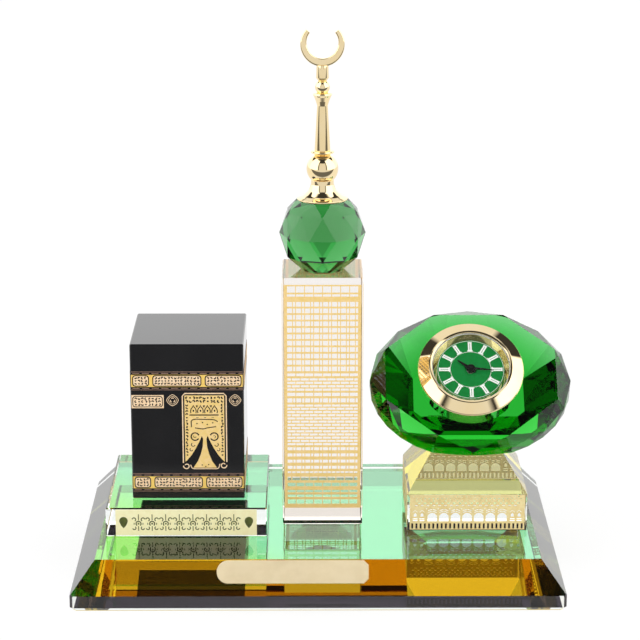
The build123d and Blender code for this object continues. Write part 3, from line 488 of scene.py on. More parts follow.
def oval(u, v, wide, high, sides=10):
    turns = [2 * math.pi * k / sides for k in range(sides)]
    return [(u + wide * math.cos(t), v + high * math.sin(t)) for t in turns]


def onCircle(u, v, radius, degrees):
    turn = math.radians(degrees)
    return u + radius * math.cos(turn), v + radius * math.sin(turn)


def arcLine(u, v, radius, begins, ends, steps=8, grow=1.0):
    shares = [k / steps for k in range(steps + 1)]
    return [onCircle(u, v, radius * (1 + (grow - 1) * s), begins + (ends - begins) * s) for s in shares]


# The outline of a line of even width
def stroke(points, width):
    left, right = [], []
    for k, (u, v) in enumerate(points):
        before, after = points[max(k - 1, 0)], points[min(k + 1, len(points) - 1)]
        along = Vector((after[0] - before[0], after[1] - before[1])).normalized() * width / 2
        left.append((u - along.y, v + along.x))
        right.append((u + along.y, v - along.x))
    return left + right[::-1]


def shifted(lines, across, up):
    return [[(u + across, v + up) for u, v in line] for line in lines]


# Makes a box (left, foot, right, head) smaller on each side
def shrunk(box, across, up):
    left, foot, right, head = box
    return left + across, foot + up, right - across, head - up


# Outlines from rows of settings:
# "line" and "bent" take points and a width, and "bent" rounds its corners
# "arc" takes across, up, radius, first and last angle, steps, growth and width
# "dot" takes across, up and its half widths, "box" its left, foot, right and head, and "area" its points
def ornament(rows):
    lines = []
    for kind, *row in rows:
        if kind == "line":
            lines.append(stroke(*row))
        elif kind == "bent":
            points, width = row
            lines.append(stroke(roundedLine([(u, v, 3.0) for u, v in points], closed=False, steps=6), width))
        elif kind == "arc":
            *curve, width = row
            lines.append(stroke(arcLine(*curve), width))
        elif kind == "dot":
            lines.append(oval(*row))
        else:
            lines.append(rectangle(*row) if kind == "box" else row[0])
    return lines


# The same rows again at even steps about the middle
def repeated(rows, count, pitch, shift=0.0):
    places = [(k - (count - 1) / 2 + shift) * pitch for k in range(count)]
    return [line for u in places for line in shifted(ornament(rows), u, 0.0)]


# One curl, dash or dot in each cell of a box. Sizes are shares of the cell, and keep the marks apart
markShares = {"stray": 0.03, "width": 0.37, "curl": 0.27, "curlTurn": 235, "dash": 0.38, "dashWidth": 1.2,
              "dot": (0.3, 0.26)}


def scatteredMarks(draw, box, pitch, width):
    shares = markShares
    left, foot, right, head = box
    marks = []
    columns, rows = max(1, round((right - left) / pitch)), max(1, round((head - foot) / pitch))
    wide, high = (right - left) / columns, (head - foot) / rows
    cell = min(wide, high)
    width = min(width, shares["width"] * cell)
    stray = shares["stray"]
    for row in range(rows):
        for column in range(columns):
            u = left + (column + 0.5) * wide + draw.uniform(-stray, stray) * cell
            v = foot + (row + 0.5) * high + draw.uniform(-stray, stray) * cell
            turn = draw.uniform(0, 360)
            kind = draw.choice(("curl", "curl", "curl", "dash", "dot"))
            if kind == "curl":
                curl = arcLine(u, v, shares["curl"] * cell, turn, turn + shares["curlTurn"])
                marks.append(stroke(curl, width))
            elif kind == "dash":
                reach = shares["dash"] * cell
                dash = [onCircle(u, v, -reach, turn), onCircle(u, v, reach, turn)]
                marks.append(stroke(dash, width * shares["dashWidth"]))
            else:
                marks.append(oval(u, v, *[share * cell for share in shares["dot"]]))
    return marks


# The box of a panel on its block's front
def panelBox(node):
    low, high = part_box(node)
    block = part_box(printBlocks[node])
    middle, foot = (block[0].x + block[1].x) / 2, block[0].z
    return (low.x - middle) / mm, (low.z - foot) / mm, (high.x - middle) / mm, (high.z - foot) / mm


# Where a print lies on a block: its own across, up and outward directions, on the face that looks outward
def facePlace(block, outward):
    low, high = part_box(block)
    up, outward = Vector((0, 0, 1)), Vector(outward)
    across = up.cross(outward)
    origin = footMiddle(block) + outward * abs(outward.dot(high - low)) / 2
    place = Matrix.Translation(origin) @ Matrix((across, up, outward)).transposed().to_4x4()
    return place, abs(across.dot(high - low)) / mm


def addShapes(work, shapes, place):
    depth = printSettings["thick"]
    lift = Matrix.Translation((0, 0, depth / 2 - printSettings["sunk"]))
    for outline, holes in shapes:
        curve = bpy.data.curves.new("printLines", "CURVE")
        curve.dimensions = "2D"
        curve.fill_mode = "BOTH"
        curve.extrude = depth / 2
        for line in (outline, *holes):
            spline = curve.splines.new("POLY")
            spline.points.add(len(line) - 1)
            for point, (u, v) in zip(spline.points, line):
                point.co = (u, v, 0, 1)
            spline.use_cyclic_u = True
        holder = bpy.data.objects.new("printLines", curve)
        mesh = bpy.data.meshes.new_from_object(holder)
        mesh.transform(place @ Matrix.Scale(mm, 4) @ lift)
        work.from_mesh(mesh)
        bpy.data.objects.remove(holder)
        bpy.data.meshes.remove(mesh)
        bpy.data.curves.remove(curve)


# A print on one or more faces. drawn gives the shapes for a face of a width
def layPrint(name, node, sides, drawn, material=None):
    work = bmesh.new()
    for side in sides:
        place, width = facePlace(printBlocks[node], side)
        addShapes(work, drawn(width), place)
    bmesh.ops.remove_doubles(work, verts=work.verts, dist=near["print"])
    bmesh.ops.recalc_face_normals(work, faces=work.faces)
    settle(name, work, node, material)


# A print that keeps its CAD shape, sunk into the glass by a hair
def sinkPrint(name, node):
    work = bmesh.new()
    work.from_mesh(nodes[node].data)
    bmesh.ops.remove_doubles(work, verts=work.verts, dist=near["point"])
    low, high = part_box(printBlocks[node])
    for v in work.verts:
        for axis in (0, 1):
            if abs(v.co[axis] - low[axis]) < near["level"] / 2:
                v.co[axis] += printSettings["sunk"] * mm
            elif abs(v.co[axis] - high[axis]) < near["level"] / 2:
                v.co[axis] -= printSettings["sunk"] * mm
    settle(name, work, node)


# Bands round the cube: an edge line and a row of dashes at foot and head, and fields of marks in a frame
bandSettings = {"arris": 0.35, "edge": 0.2, "dash": (0.5, 0.78), "dashPitch": 3.27, "dashGap": 0.9,
                "shortest": 0.3, "inner": 1.15, "outlineGap": 0.1, "outline": 0.36, "frameCorner": 1.2,
                "corner": 1.0, "pillars": (-12.3, 5.5), "pastEnds": (4.0, 6.0), "pillarWidth": 1.1,
                "markMargin": (0.25, 0.12), "marks": (1.12, 0.4)}


def bandShapes(node, draw, part):
    settings = bandSettings
    foot, head = panelBox(node)[1::2]

    def edges(reach):
        shapes = []
        for base, way in ((foot, 1), (head, -1)):
            line = sorted((base, base + way * settings["edge"]))
            shapes.append((rectangle(-reach, line[0], reach, line[1]), []))
            dash = sorted(base + way * level for level in settings["dash"])
            for k in range(int(2 * reach / settings["dashPitch"]) + 1):
                begins = -reach + k * settings["dashPitch"] + settings["dashGap"] / 2
                ends = min(begins + settings["dashPitch"] - settings["dashGap"], reach)
                if ends - begins > settings["shortest"]:
                    shapes.append((rectangle(begins, dash[0], ends, dash[1]), []))
        return shapes

    def panels(reach):
        low, high = foot + settings["inner"], head - settings["inner"]
        gap, outline = settings["outlineGap"], settings["outline"]
        posts = [-reach - settings["pastEnds"][0], *settings["pillars"], reach + settings["pastEnds"][1]]
        fields, holes = [], []
        for begins, ends in zip(posts, posts[1:]):
            left = max(begins + settings["pillarWidth"] / 2, -reach + outline)
            right = min(ends - settings["pillarWidth"] / 2, reach - outline)
            around = (left, low + gap, right, high - gap)
            holes.append(rectangle(*around, settings["frameCorner"]))
            if part == "fields":
                field = shrunk(around, outline, outline)
                marks = scatteredMarks(draw, shrunk(field, *settings["markMargin"]), *settings["marks"])
                fields.append((rectangle(*field, settings["corner"]), marks))
        return fields if part == "fields" else [(rectangle(-reach, low, reach, high), holes)]

    def drawn(width):
        reach = width / 2 - settings["arris"]
        return edges(reach) if part == "edges" else panels(reach)

    return drawn


# Door: a frame line that ends in scrolls, and a gold field with domes, a lintel, roundels and a drawn curtain
doorSettings = {
    "frame": (
        ("line", ((-7.45, 2.3), (-7.45, 26.4), (-6.6, 27.3), (6.6, 27.3), (7.45, 26.4), (7.45, 2.6)), 0.4),
        ("arc", -6.35, 1.15, 1.1, 175, 505, 22, 0.55, 0.34), ("arc", 6.35, 1.4, 1.1, 5, -325, 22, 0.55, 0.34),
        ("bent", ((-5.0, 1.6), (-4.5, 0.35), (-3.8, 0.15), (4.2, 0.15), (4.7, 0.5), (5.1, 1.9)), 0.28),
    ),
    "halfField": ((6.75, 26.6), (6.75, 2.7), (6.1, 3.3), (4.6, 5.1), (3.2, 7.4), (1.9, 9.9), (1.0, 12.1),
                  (0.55, 11.0), (0.75, 8.2), (1.4, 5.5), (2.4, 3.0), (4.0, 0.55)),
    "marks": (((-6.6, 4.6, -5.45, 23.7), 1.15, 0.42), ((5.45, 4.6, 6.6, 23.7), 1.15, 0.42),
              ((-6.6, 23.85, 6.6, 26.35), 1.2, 0.46)),
    "dome": (("line", ((-0.85, 0.1), (-0.98, 0.8), (-0.75, 1.7), (-0.25, 2.3), (0.0, 2.9), (0.25, 2.3),
                       (0.75, 1.7), (0.98, 0.8), (0.85, 0.1)), 0.34), ("dot", 0, 0.95, 0.3, 0.4)),
    "domes": 4, "domePitch": 2.4, "domeMiddle": -0.15, "domeFoot": 20.15,
    "wedge": (("area", ((0, 1.9), (0.42, 2.9), (-0.42, 2.9))),),
    "cuts": (
        ("box", -5.2, 19.35, 4.9, 19.8, 0.2),
        ("arc", -2.4, 18.95, 0.35, 200, 340, 8, 1, 0.2), ("arc", 0.2, 18.95, 0.35, 200, 340, 8, 1, 0.2),
        ("arc", 2.8, 18.95, 0.35, 200, 340, 8, 1, 0.2),
        ("bent", ((-4.5, 15.2), (-4.6, 17.6), (-3.4, 18.1), (3.2, 17.95), (4.5, 17.2)), 0.36),
        ("bent", ((-3.3, 14.95), (-0.4, 14.5), (0.6, 14.9), (3.9, 15.4)), 0.36),
        ("dot", -2.6, 16.5, 0.26, 0.24), ("dot", -0.7, 16.9, 0.26, 0.24), ("dot", 0.9, 16.2, 0.26, 0.24),
        ("dot", 2.8, 16.8, 0.26, 0.24),
        ("arc", -3.3, 11.8, 1.35, 20, 330, 22, 1, 0.46), ("arc", -3.3, 11.8, 0.55, 140, 370, 10, 0.5, 0.22),
        ("arc", 3.2, 11.8, 1.35, 160, -150, 22, 1, 0.46), ("arc", 3.2, 11.8, 0.55, 280, 510, 10, 0.5, 0.22),
        ("arc", -4.0, 8.9, 0.62, 120, 350, 10, 1, 0.28), ("arc", 4.0, 8.9, 0.62, 60, -170, 10, 1, 0.28),
        ("arc", -4.65, 7.1, 0.5, 120, 350, 10, 1, 0.28), ("arc", 4.65, 7.1, 0.5, 60, -170, 10, 1, 0.28),
        ("dot", -1.0, 1.5, 0.26, 0.22), ("dot", 0.2, 1.0, 0.26, 0.22), ("dot", 1.2, 1.7, 0.26, 0.22),
    ),
}


def doorShapes(draw, part):
    settings = doorSettings
    left, foot, right, head = panelBox("door_panel")
    middle = (left + right) / 2

    def drawn(width):
        if part == "frame":
            return [(line, []) for line in shifted(ornament(settings["frame"]), middle, foot)]
        half = list(settings["halfField"])
        field = half + [(-u, v) for u, v in half[::-1]]
        holes = [mark for row in settings["marks"] for mark in scatteredMarks(draw, *row)]
        domes = repeated(settings["dome"], settings["domes"], settings["domePitch"])
        domes += repeated(settings["wedge"], settings["domes"] - 1, settings["domePitch"])
        holes += shifted(domes, settings["domeMiddle"], settings["domeFoot"])
        holes += ornament(settings["cuts"])
        return [(shifted([field], middle, foot)[0], shifted(holes, middle, foot))]

    return drawn


cartoucheSettings = {"line": 0.32, "lineCorner": 1.1, "field": 0.62, "corner": 0.9, "markMargin": (0.9, 0.75),
                     "marks": (1.12, 0.4)}


# Cartouche: a line round a field of marks
def cartoucheShapes(draw):
    settings = cartoucheSettings
    box = panelBox("cartouche")

    def around(inset, radius=0.0):
        return rectangle(*shrunk(box, inset, inset), radius)

    marks = scatteredMarks(draw, shrunk(box, *settings["markMargin"]), *settings["marks"])
    shapes = [(around(0), [around(settings["line"], settings["lineCorner"])]),
              (around(settings["field"], settings["corner"]), marks)]
    return lambda width: shapes


roundelSettings = {"power": 1.45, "sides": 36, "lines": ((0.0, 0.2), (0.6, 0.75)), "petals": (90, 210, 330),
                   "petalPlace": 0.5, "petalRadius": 0.34, "petalWidth": 0.24}


# Roundels: two rhombs with soft corners, one in the other, round three petals
def roundelShapes():
    settings = roundelSettings
    left, foot, right, head = panelBox("roundels")
    level, radius = (foot + head) / 2, (head - foot) / 2
    power = settings["power"]

    def rhomb(u, size):
        points = []
        for k in range(settings["sides"]):
            turn = 2 * math.pi * k / settings["sides"]
            reach = size / (abs(math.cos(turn)) ** power + abs(math.sin(turn)) ** power) ** (1 / power)
            points.append((u + reach * math.cos(turn), level + reach * math.sin(turn)))
        return points

    shapes = []
    for u in (left + radius, right - radius):
        for outer, inner in settings["lines"]:
            shapes.append((rhomb(u, radius - outer), [rhomb(u, radius - inner)]))
        for turn in settings["petals"]:
            place = onCircle(u, level, settings["petalPlace"], turn)
            petal = arcLine(*place, settings["petalRadius"], turn - 90, turn + 90)
            shapes.append((stroke(petal, settings["petalWidth"]), []))
    return lambda width: shapes


# Plinth strip: a cream field with a leafy scroll between two drops. A wave's rows start at its middle
stripSettings = {
    "waves": 8, "reach": 18.6, "level": 4.2, "dropInset": 2.7, "dropLevel": 5.2,
    "wave": (("line", ((0, -2.6), (0, -0.9)), 0.3), ("arc", 0, 0, 0.85, -50, 230, 14, 1, 0.42),
             ("dot", 0, 0, 0.34, 0.34), ("line", ((0, 1.2), (0, 3.4)), 0.3),
             ("arc", -1.55, 1.5, 0.62, 170, -60, 10, 1, 0.38),
             ("arc", -1.45, -1.6, 0.55, -170, 60, 10, 1, 0.36), ("dot", -1.5, -0.05, 0.16, 0.42),
             ("arc", 1.55, 1.5, 0.62, 10, 240, 10, 1, 0.38),
             ("arc", 1.45, -1.6, 0.55, -10, -240, 10, 1, 0.36), ("dot", 1.5, -0.05, 0.16, 0.42)),
    "dropArc": (0, 0, 1.45, 200, -20, 14), "dropPoint": ((0.9, -1.6), (0, -2.7), (-0.9, -1.6)),
}


def stripShapes(part):
    settings = stripSettings
    left, foot, right, head = panelBox("plinth_strip")
    waves = repeated(settings["wave"], settings["waves"], 2 * settings["reach"] / settings["waves"])
    scroll = shifted(waves, (left + right) / 2, foot + settings["level"])
    drop = arcLine(*settings["dropArc"]) + list(settings["dropPoint"])
    drops = [shifted([drop], u, foot + settings["dropLevel"])[0]
             for u in (left + settings["dropInset"], right - settings["dropInset"])]
    if part == "field":
        return lambda width: [(rectangle(left, foot, right, head), scroll + drops)]
    return lambda width: [(line, []) for line in (scroll if part == "scroll" else drops)]


# Arcade: arches, chevrons, rows of dashes and balusters, with two narrow bays at each end. A row of dashes is
# (level, half a dash, pitch, shift)
arcadeSettings = {
    "edge": 0.8, "head": 12.6, "pitch": 4.0, "bays": 2, "bayPitch": 2.35, "bayGap": 0.35, "spare": 0.6,
    "arch": (("area", ((-1.62, 3.0), (1.62, 3.0), (1.62, 5.0), (0.891, 5.85), (0, 6.15), (-0.891, 5.85),
                       (-1.62, 5.0))),
             ("line", ((-1.5, 6.2), (-0.14, 6.7)), 0.26), ("line", ((0.14, 6.7), (1.5, 6.2)), 0.26),
             ("line", ((-1.5, 6.9), (-0.14, 7.4)), 0.26), ("line", ((0.14, 7.4), (1.5, 6.9)), 0.26),
             ("dot", -2.0, 7.6, 0.2, 0.2, 8)),
    "bay": (("area", ((-0.5, 4.7), (0.5, 4.7), (0.5, 5.5), (0, 6.1), (-0.5, 5.5))),
            ("box", -0.85, 3.1, 0.85, 3.45), ("box", -0.85, 3.75, 0.85, 4.1),
            ("line", ((-0.85, 6.3), (0, 7.0), (0.85, 6.3)), 0.2)),
    "dashes": ((8.6, 0.45, 2.0, -0.25), (9.5, 0.4, 2.0, 0.25), (10.3, 0.35, 2.0, -0.25),
               (11.1, 0.3, 1.5, 0.25), (11.8, 0.22, 1.5, -0.25)), "dashHigh": 0.3,
    "baluster": (("box", -0.33, 0.3, 0.33, 2.25),), "balusterPitch": 1.45,
}


def arcadeShapes(node):
    settings = arcadeSettings
    foot = panelBox(node)[1]

    def drawn(width):
        reach = width / 2 - settings["edge"]
        bays, bayPitch, pitch = settings["bays"], settings["bayPitch"], settings["pitch"]
        arches = int((2 * reach - 2 * bays * bayPitch - settings["spare"]) / pitch)
        holes = repeated(settings["arch"], arches, pitch)
        for way in (-1, 1):
            for bay in range(bays):
                u = way * (arches * pitch / 2 + settings["bayGap"] + (bay + 0.5) * bayPitch)
                holes += shifted(ornament(settings["bay"]), u, 0.0)
        for level, half, dashPitch, shift in settings["dashes"]:
            dash = (("box", -half, level, half, level + settings["dashHigh"]),)
            holes += repeated(dash, int(2 * reach / dashPitch) - 1, dashPitch, shift)
        count = int(2 * reach / settings["balusterPitch"])
        holes += repeated(settings["baluster"], count, settings["balusterPitch"])
        return [(rectangle(-reach, foot, reach, foot + settings["head"]), shifted(holes, 0.0, foot))]

    return drawn


def dressPrints():
    draw = random.Random(11)
    sides = front, right, back, left = (0, -1, 0), (1, 0, 0), (0, 1, 0), (-1, 0, 0)
    sinkPrint("towerGridFront", "tower_grid_front")
    sinkPrint("towerGridSide", "tower_grid_side")
    rose, cream, olive = makeFinish("roseGilding"), makeFinish("creamGilding"), makeFinish("oliveInk")
    bandParts = (("fields", "", rose), ("edges", "Edges", makeFinish("brownGilding")),
                 ("frame", "Frame", makeFinish("brightGilding")))
    for name, node in (("upperBand", "upper_band"), ("lowerBand", "lower_band")):
        for part, ending, material in bandParts:
            layPrint(name + ending, node, sides, bandShapes(node, draw, part), material)
    layPrint("doorPanel", "door_panel", (front,), doorShapes(draw, "field"))
    layPrint("doorFrame", "door_panel", (front,), doorShapes(draw, "frame"), rose)
    layPrint("goldCartouche", "cartouche", (front,), cartoucheShapes(draw), rose)
    layPrint("goldRoundels", "roundels", (front,), roundelShapes(), rose)
    for name, part, material in (("plinthStrip", "field", cream), ("plinthScroll", "scroll", olive),
                                 ("plinthDrops", "drops", olive)):
        layPrint(name, "plinth_strip", (front,), stripShapes(part), material)
    sandy = makeFinish("arcadeGilding")
    layPrint("arcadeWide", "arcade_wide", (front, back), arcadeShapes("arcade_wide"), sandy)
    layPrint("arcadeSide", "arcade_side", (left, right), arcadeShapes("arcade_side"), sandy)


dressPrints()
print("prints placed")


# Turned finial on the ball. Outlines are (radius, height, corner radius) above each piece's foot, and the
# knob and the bead are (radius, radius of the foot, bore)
finialSettings = {
    "bore": 1.25,
    "skirt": ((8.6, 0.0, 0.15), (8.6, 0.5, 0.2), (6.3, 1.3, 3.0), (4.5, 3.2, 2.5), (3.9, 5.2, 1.5)),
    "neck": (3.9, 0.1),
    "knob": (5.4, 3.9, 1.25),
    "cup": ((2.6, 0.0, 0.2), (3.3, 0.6, 0.6), (3.9, 0.8, 0.2), (4.0, 1.15, 0.2), (3.7, 1.5, 0.15),
            (2.7, 1.5, 0.1)),
    "spindle": ((2.7, 0.0, 0.1), (1.8, 15.3, 0.3), (2.3, 16.9, 0.5), (2.9, 18.4, 0.3), (3.3, 19.1, 0.2),
                (3.0, 19.6, 0.2), (1.75, 19.8, 0.1)),
    "spindleBore": ((0.0, 8.0), (1.25, 7.65)),
    "bead": (2.5, 1.75, 0.0),
    "socket": ((1.4, 0.0, 0.2), (2.15, 1.0, 0.5), (2.0, 5.4, 0.25)),
    "ballSteps": 28,
}


# The outline of a ball that is cut off at its foot and head
def ballOutline(radius, footRadius, bore, height):
    steps = finialSettings["ballSteps"]
    lowAngle = -math.acos(min(1.0, footRadius / radius))
    foot = radius * math.sin(lowAngle)
    highAngle = math.asin(min(1.0, (height + foot) / radius))
    outline = [(bore, 0.0)]
    for k in range(steps + 1):
        angle = lowAngle + (highAngle - lowAngle) * k / steps
        outline.append((radius * math.cos(angle), radius * math.sin(angle) - foot))
    outline.append((bore, height))
    return outline


def dressFinial():
    settings = finialSettings
    bore = settings["bore"]

    # A piece with a bore goes round its pin, and a solid one ends on its axis
    def bored(points):
        return roundedLine([(bore, 0.0, 0), *points, (bore, points[-1][1], 0)])

    def solid(points, start):
        return roundedLine([(start, 0.0, 0), *points, (0.0, points[-1][1], 0)], closed=False)

    def turn(name, node, outlineAt):
        low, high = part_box(node)
        outline = outlineAt((high.z - low.z) / mm)
        settle(name, turned(outline, Matrix.Translation(footMiddle(node))), node, smooth=True)

    neck, neckCorner = settings["neck"]
    turn("finialSkirt", "finial_skirt",
         lambda height: bored((*settings["skirt"], (neck, height, neckCorner))))
    turn("finialKnob", "finial_knob", lambda height: ballOutline(*settings["knob"], height))
    turn("finialCup", "finial_cup", lambda height: bored(settings["cup"]))
    turn("finialSpindle", "finial_spindle",
         lambda height: solid(settings["spindle"], bore) + list(settings["spindleBore"]))
    turn("finialBead", "finial_bead", lambda height: ballOutline(*settings["bead"], height))
    turn("crescentSocket", "crescent_socket", lambda height: solid(settings["socket"], 0.0))


dressFinial()
print("finial turned")


crescentSettings = {"outer": 7.4, "inner": 5.3, "shift": 0.6, "tip": 5.1, "thick": 2.4, "stations": 72,
                    "corner": 0.55}


# The crescent: a rounded section carried round the ring, thick at the foot and thin at its cut ends
def dressCrescent():
    settings = crescentSettings
    outer, shift, corner = settings["outer"], settings["shift"], settings["corner"]
    centre = footMiddle("crescent") + Vector((0, 0, outer * mm))
    reach = math.acos(settings["tip"] / outer)
    half = settings["thick"] / 2
    work = bmesh.new()
    sections = []
    for k in range(settings["stations"] + 1):
        turn = reach + (2 * math.pi - 2 * reach) * k / settings["stations"]
        across, up = math.sin(turn), math.cos(turn)
        inner = shift * up + math.sqrt(settings["inner"] ** 2 - (shift * across) ** 2)
        outline = roundedLine([(inner, -half, corner), (outer, -half, corner), (outer, half, corner),
                               (inner, half, corner)], steps=4)
        sections.append([work.verts.new(centre + Vector((across * r, y, up * r)) * mm) for r, y in outline])
    for one, two in zip(sections, sections[1:]):
        for k in range(len(one)):
            after = (k + 1) % len(one)
            work.faces.new((one[k], one[after], two[after], two[k]))
    work.faces.new(sections[0])
    work.faces.new(sections[-1])
    bmesh.ops.recalc_face_normals(work, faces=work.faces)
    settle("crescentHorns", work, "crescent", smooth=True)


dressCrescent()
print("crescent made")


# Clock insert, about its own axis: the minute hand's joint gives the axis and its middle
handJoint = next(j for j in frame["joints"] if j["name"] == "minute_turn")
insertAxis = Vector(handJoint["axis"]).normalized()
insertUp = insertAxis.cross(Vector((1, 0, 0))).normalized()
insertPlace = Matrix.Translation(handJoint["pos_m"]) @ Matrix(
    (Vector((1, 0, 0)), insertUp, insertAxis)).transposed().to_4x4()

insertSettings = {
    "bezel": ((14.05, 0.0, 0), (18.5, 0.0, 0.1), (18.5, 0.4, 0.15), (18.2, 0.8, 0.2), (14.7, 2.5, 0.3),
              (14.3, 2.6, 0.1), (13.6, 2.45, 0.1), (13.6, 2.2, 0), (14.05, 2.2, 0)),
    "reflector_ring": ((11.75, 0.0, 0), (14.0, 0.0, 0), (14.0, 1.6, 0), (13.3, 1.6, 0.05)),
}

# Each hour has two strokes with a slit between them, on a wide foot and under a narrow cap. A half outline is
# (across, outward) from the dial's middle
markSettings = {"count": 12, "half": ((0.95, 7.25), (0.95, 7.65), (0.64, 7.65), (0.64, 10.71), (0.7, 10.71),
                                      (0.7, 11.05)), "slit": (-0.1, 7.8, 0.1, 10.56)}


def markShapes():
    settings = markSettings
    half = list(settings["half"])
    outline = half + [(-u, v) for u, v in half[::-1]]
    shapes = []
    for k in range(settings["count"]):
        turn = Matrix.Rotation(2 * math.pi * k / settings["count"], 2)
        lines = [[tuple(turn @ Vector(p)) for p in line] for line in (outline, rectangle(*settings["slit"]))]
        shapes.append((lines[0], lines[1:]))
    return shapes


def dressInsert():
    sides = turnedSettings["bezelSides"]
    ring = makeFinish("ringGold")
    for name, node, material in (("goldBezel", "bezel", None), ("reflectorRing", "reflector_ring", ring)):
        work = turned(roundedLine(insertSettings[node]), insertPlace, sides)
        settle(name, work, node, material, "clock_insert", smooth=True)
    work = bmesh.new()
    away = insertPlace.inverted()
    level = min((away @ v.co).z for v in nodes["hour_marks"].data.vertices) + printSettings["sunk"] * mm
    addShapes(work, markShapes(), insertPlace @ Matrix.Translation((0, 0, level)))
    settle("hourMarks", work, "hour_marks", None, "clock_insert")


dressInsert()
print("insert made")


# Stage: floor, world, lamps, camera. Off the camera's view, the floor is bright only on its sheet under the
# object, from sheetFront on, and again beyond farFloor
stageSettings = {"floorSize": 8.0, "floorDrop": 0.02 * mm, "floorColour": (0.95, 0.95, 0.95),
                 "floorRoughness": 0.9, "floorOwnLight": 0.72, "sheetFront": (-0.125, -0.085),
                 "beyondSheet": 0.16, "farFloor": (-0.46, -0.58), "farLight": 0.85}
# Panels of light round the object, each from where it begins to where it ends. "turn" is the cosine of the
# heading from the backdrop, "height" the sine of the elevation
worldSettings = {
    "ambient": 1.04, "dark": 0.045, "edge": 0.03,
    "panels": (
        {"turn": (0.26, 1.1), "height": (-1.1, 0.53), "strength": 1.5},
        {"turn": (0.10, 1.1), "height": (0.57, 1.1), "across": (-0.36, 0.36), "strength": 0.92},
        {"turn": (-0.82, 0.34), "height": (-0.05, 0.90), "strength": 1.9},
        {"turn": (-1.1, -0.89), "height": (-0.09, 0.74), "strength": 0.85},
    ),
}
lampSettings = {
    "keyLamp": {"place": (-0.75, -0.55, 0.85), "size": (0.7, 0.7), "radiance": 0.55},
    "fillLamp": {"place": (0.85, -0.35, 0.55), "size": (0.5, 0.8), "radiance": 0.3},
    "topLamp": {"place": (0.0, 0.15, 1.05), "size": (0.9, 0.6), "radiance": 0.35},
}
lampTarget = Vector((0, 0, 0.06))
cameraSettings = {"place": (-2.25 * mm, -756.2 * mm, 302.85 * mm), "pitch": 16.08, "yaw": 0.23,
                  "lens": 128.42, "sensor": 36.0}
bounceSettings = {"max_bounces": 28, "transmission_bounces": 28, "glossy_bounces": 16,
                  "transparent_max_bounces": 12}


def makeFloor():
    settings = stageSettings
    half, level = settings["floorSize"] / 2, -settings["floorDrop"]
    corners = [(-half, -half, level), (half, -half, level), (half, half, level), (-half, half, level)]
    mesh = bpy.data.meshes.new("floor")
    mesh.from_pydata(corners, [], [(0, 1, 2, 3)])
    floor = bpy.data.objects.new("floor", mesh)
    bpy.context.scene.collection.objects.link(floor)
    material, tree, shader = newMaterial("paleFloor")
    fillInputs(tree, shader, {"Base Color": settings["floorColour"], "Roughness": settings["floorRoughness"],
                              "Specular IOR Level": 0.0})
    path = addNode(tree, "LightPath").outputs
    depth = splitPlace(tree, "Object")["Y"]
    sheet = spread(tree, depth, *settings["sheetFront"], settings["beyondSheet"], 1.0)
    far = spread(tree, depth, *settings["farFloor"], 0.0, settings["farLight"])
    strength = addMath(tree, "MAXIMUM", addMath(tree, "MAXIMUM", sheet, far), path["Is Camera Ray"])
    glow = addNode(tree, "Emission", {"Strength": strength}).outputs[0]
    seen = addMath(tree, "MULTIPLY", path["Is Camera Ray"], settings["floorOwnLight"])
    mirrored = addMath(tree, "MAXIMUM", path["Is Glossy Ray"], path["Is Transmission Ray"])
    showSurface(tree, mixShaders(tree, addMath(tree, "MAXIMUM", seen, mirrored), shader.outputs[0], glow))
    mesh.materials.append(material)


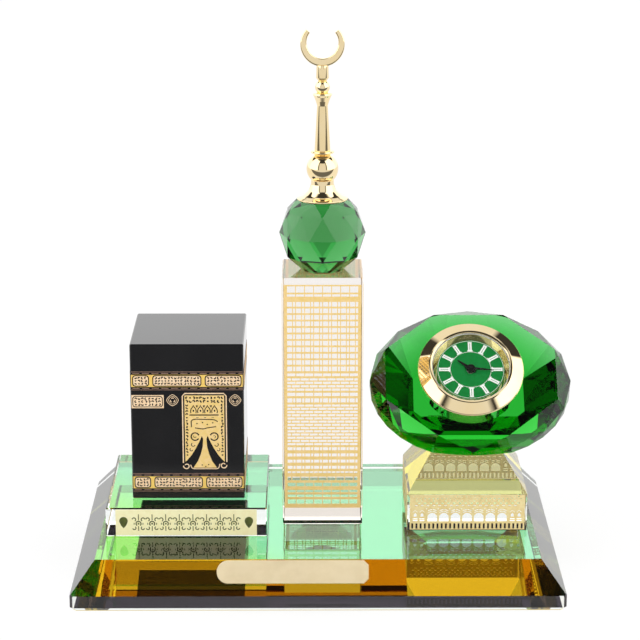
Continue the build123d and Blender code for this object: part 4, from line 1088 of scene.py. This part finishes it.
def makeWorld():
    settings = worldSettings
    world = bpy.data.worlds.new("studio")
    bpy.context.scene.world = world
    world.use_nodes = True
    tree = world.node_tree
    tree.nodes.clear()
    edge = settings["edge"]

    def math2(operation, *values):
        return addMath(tree, operation, *values)

    def within(value, begins, ends):
        rise = spread(tree, value, begins - edge, begins + edge)
        return math2("MULTIPLY", rise, spread(tree, value, ends + edge, ends - edge))

    x, y, z = splitPlace(tree, "Generated")
    level = math2("SQRT", math2("SUBTRACT", 1.00001, math2("MULTIPLY", z, z)))
    turn = math2("DIVIDE", y, level)
    studio = settings["dark"]
    for panel in settings["panels"]:
        share = math2("MULTIPLY", within(turn, *panel["turn"]), within(z, *panel["height"]))
        if "across" in panel:
            share = math2("MULTIPLY", share, within(x, *panel["across"]))
        studio = math2("MAXIMUM", studio, math2("MULTIPLY", share, panel["strength"]))
    path = addNode(tree, "LightPath").outputs
    diffuse = math2("GREATER_THAN", path["Diffuse Depth"], 0.5)
    unseen = addNode(tree, "Mix", {"Factor": diffuse, "A": studio, "B": settings["ambient"]})
    strength = addNode(tree, "Mix", {"Factor": path["Is Camera Ray"], "A": unseen.outputs["Result"],
                                     "B": 1.0})
    background = addNode(tree, "Background", {"Color": (1, 1, 1), "Strength": strength.outputs["Result"]})
    addNode(tree, "OutputWorld", {"Surface": background.outputs[0]})


def makeLamps():
    for name, settings in lampSettings.items():
        lamp = bpy.data.lights.new(name, "AREA")
        lamp.shape = "RECTANGLE"
        lamp.size, lamp.size_y = settings["size"]
        lamp.energy = settings["radiance"] * math.pi * lamp.size * lamp.size_y
        holder = bpy.data.objects.new(name, lamp)
        bpy.context.scene.collection.objects.link(holder)
        holder.location = settings["place"]
        holder.visible_glossy = False
        holder.visible_transmission = False
        holder.rotation_euler = (lampTarget - holder.location).to_track_quat("-Z", "Y").to_euler()


def makeCamera():
    settings = cameraSettings
    data = bpy.data.cameras.new("studioCamera")
    data.lens = settings["lens"]
    data.sensor_width = settings["sensor"]
    data.clip_start, data.clip_end = 0.01, 20.0
    camera = bpy.data.objects.new("studioCamera", data)
    bpy.context.scene.collection.objects.link(camera)
    camera.location = settings["place"]
    camera.rotation_euler = (math.radians(90 - settings["pitch"]), 0, -math.radians(settings["yaw"]))
    bpy.context.scene.camera = camera


makeFloor()
makeWorld()
makeLamps()
makeCamera()
scene = bpy.context.scene
scene.view_settings.view_transform = "Standard"
for label, count in bounceSettings.items():
    setattr(scene.cycles, label, count)
print("stage ready")
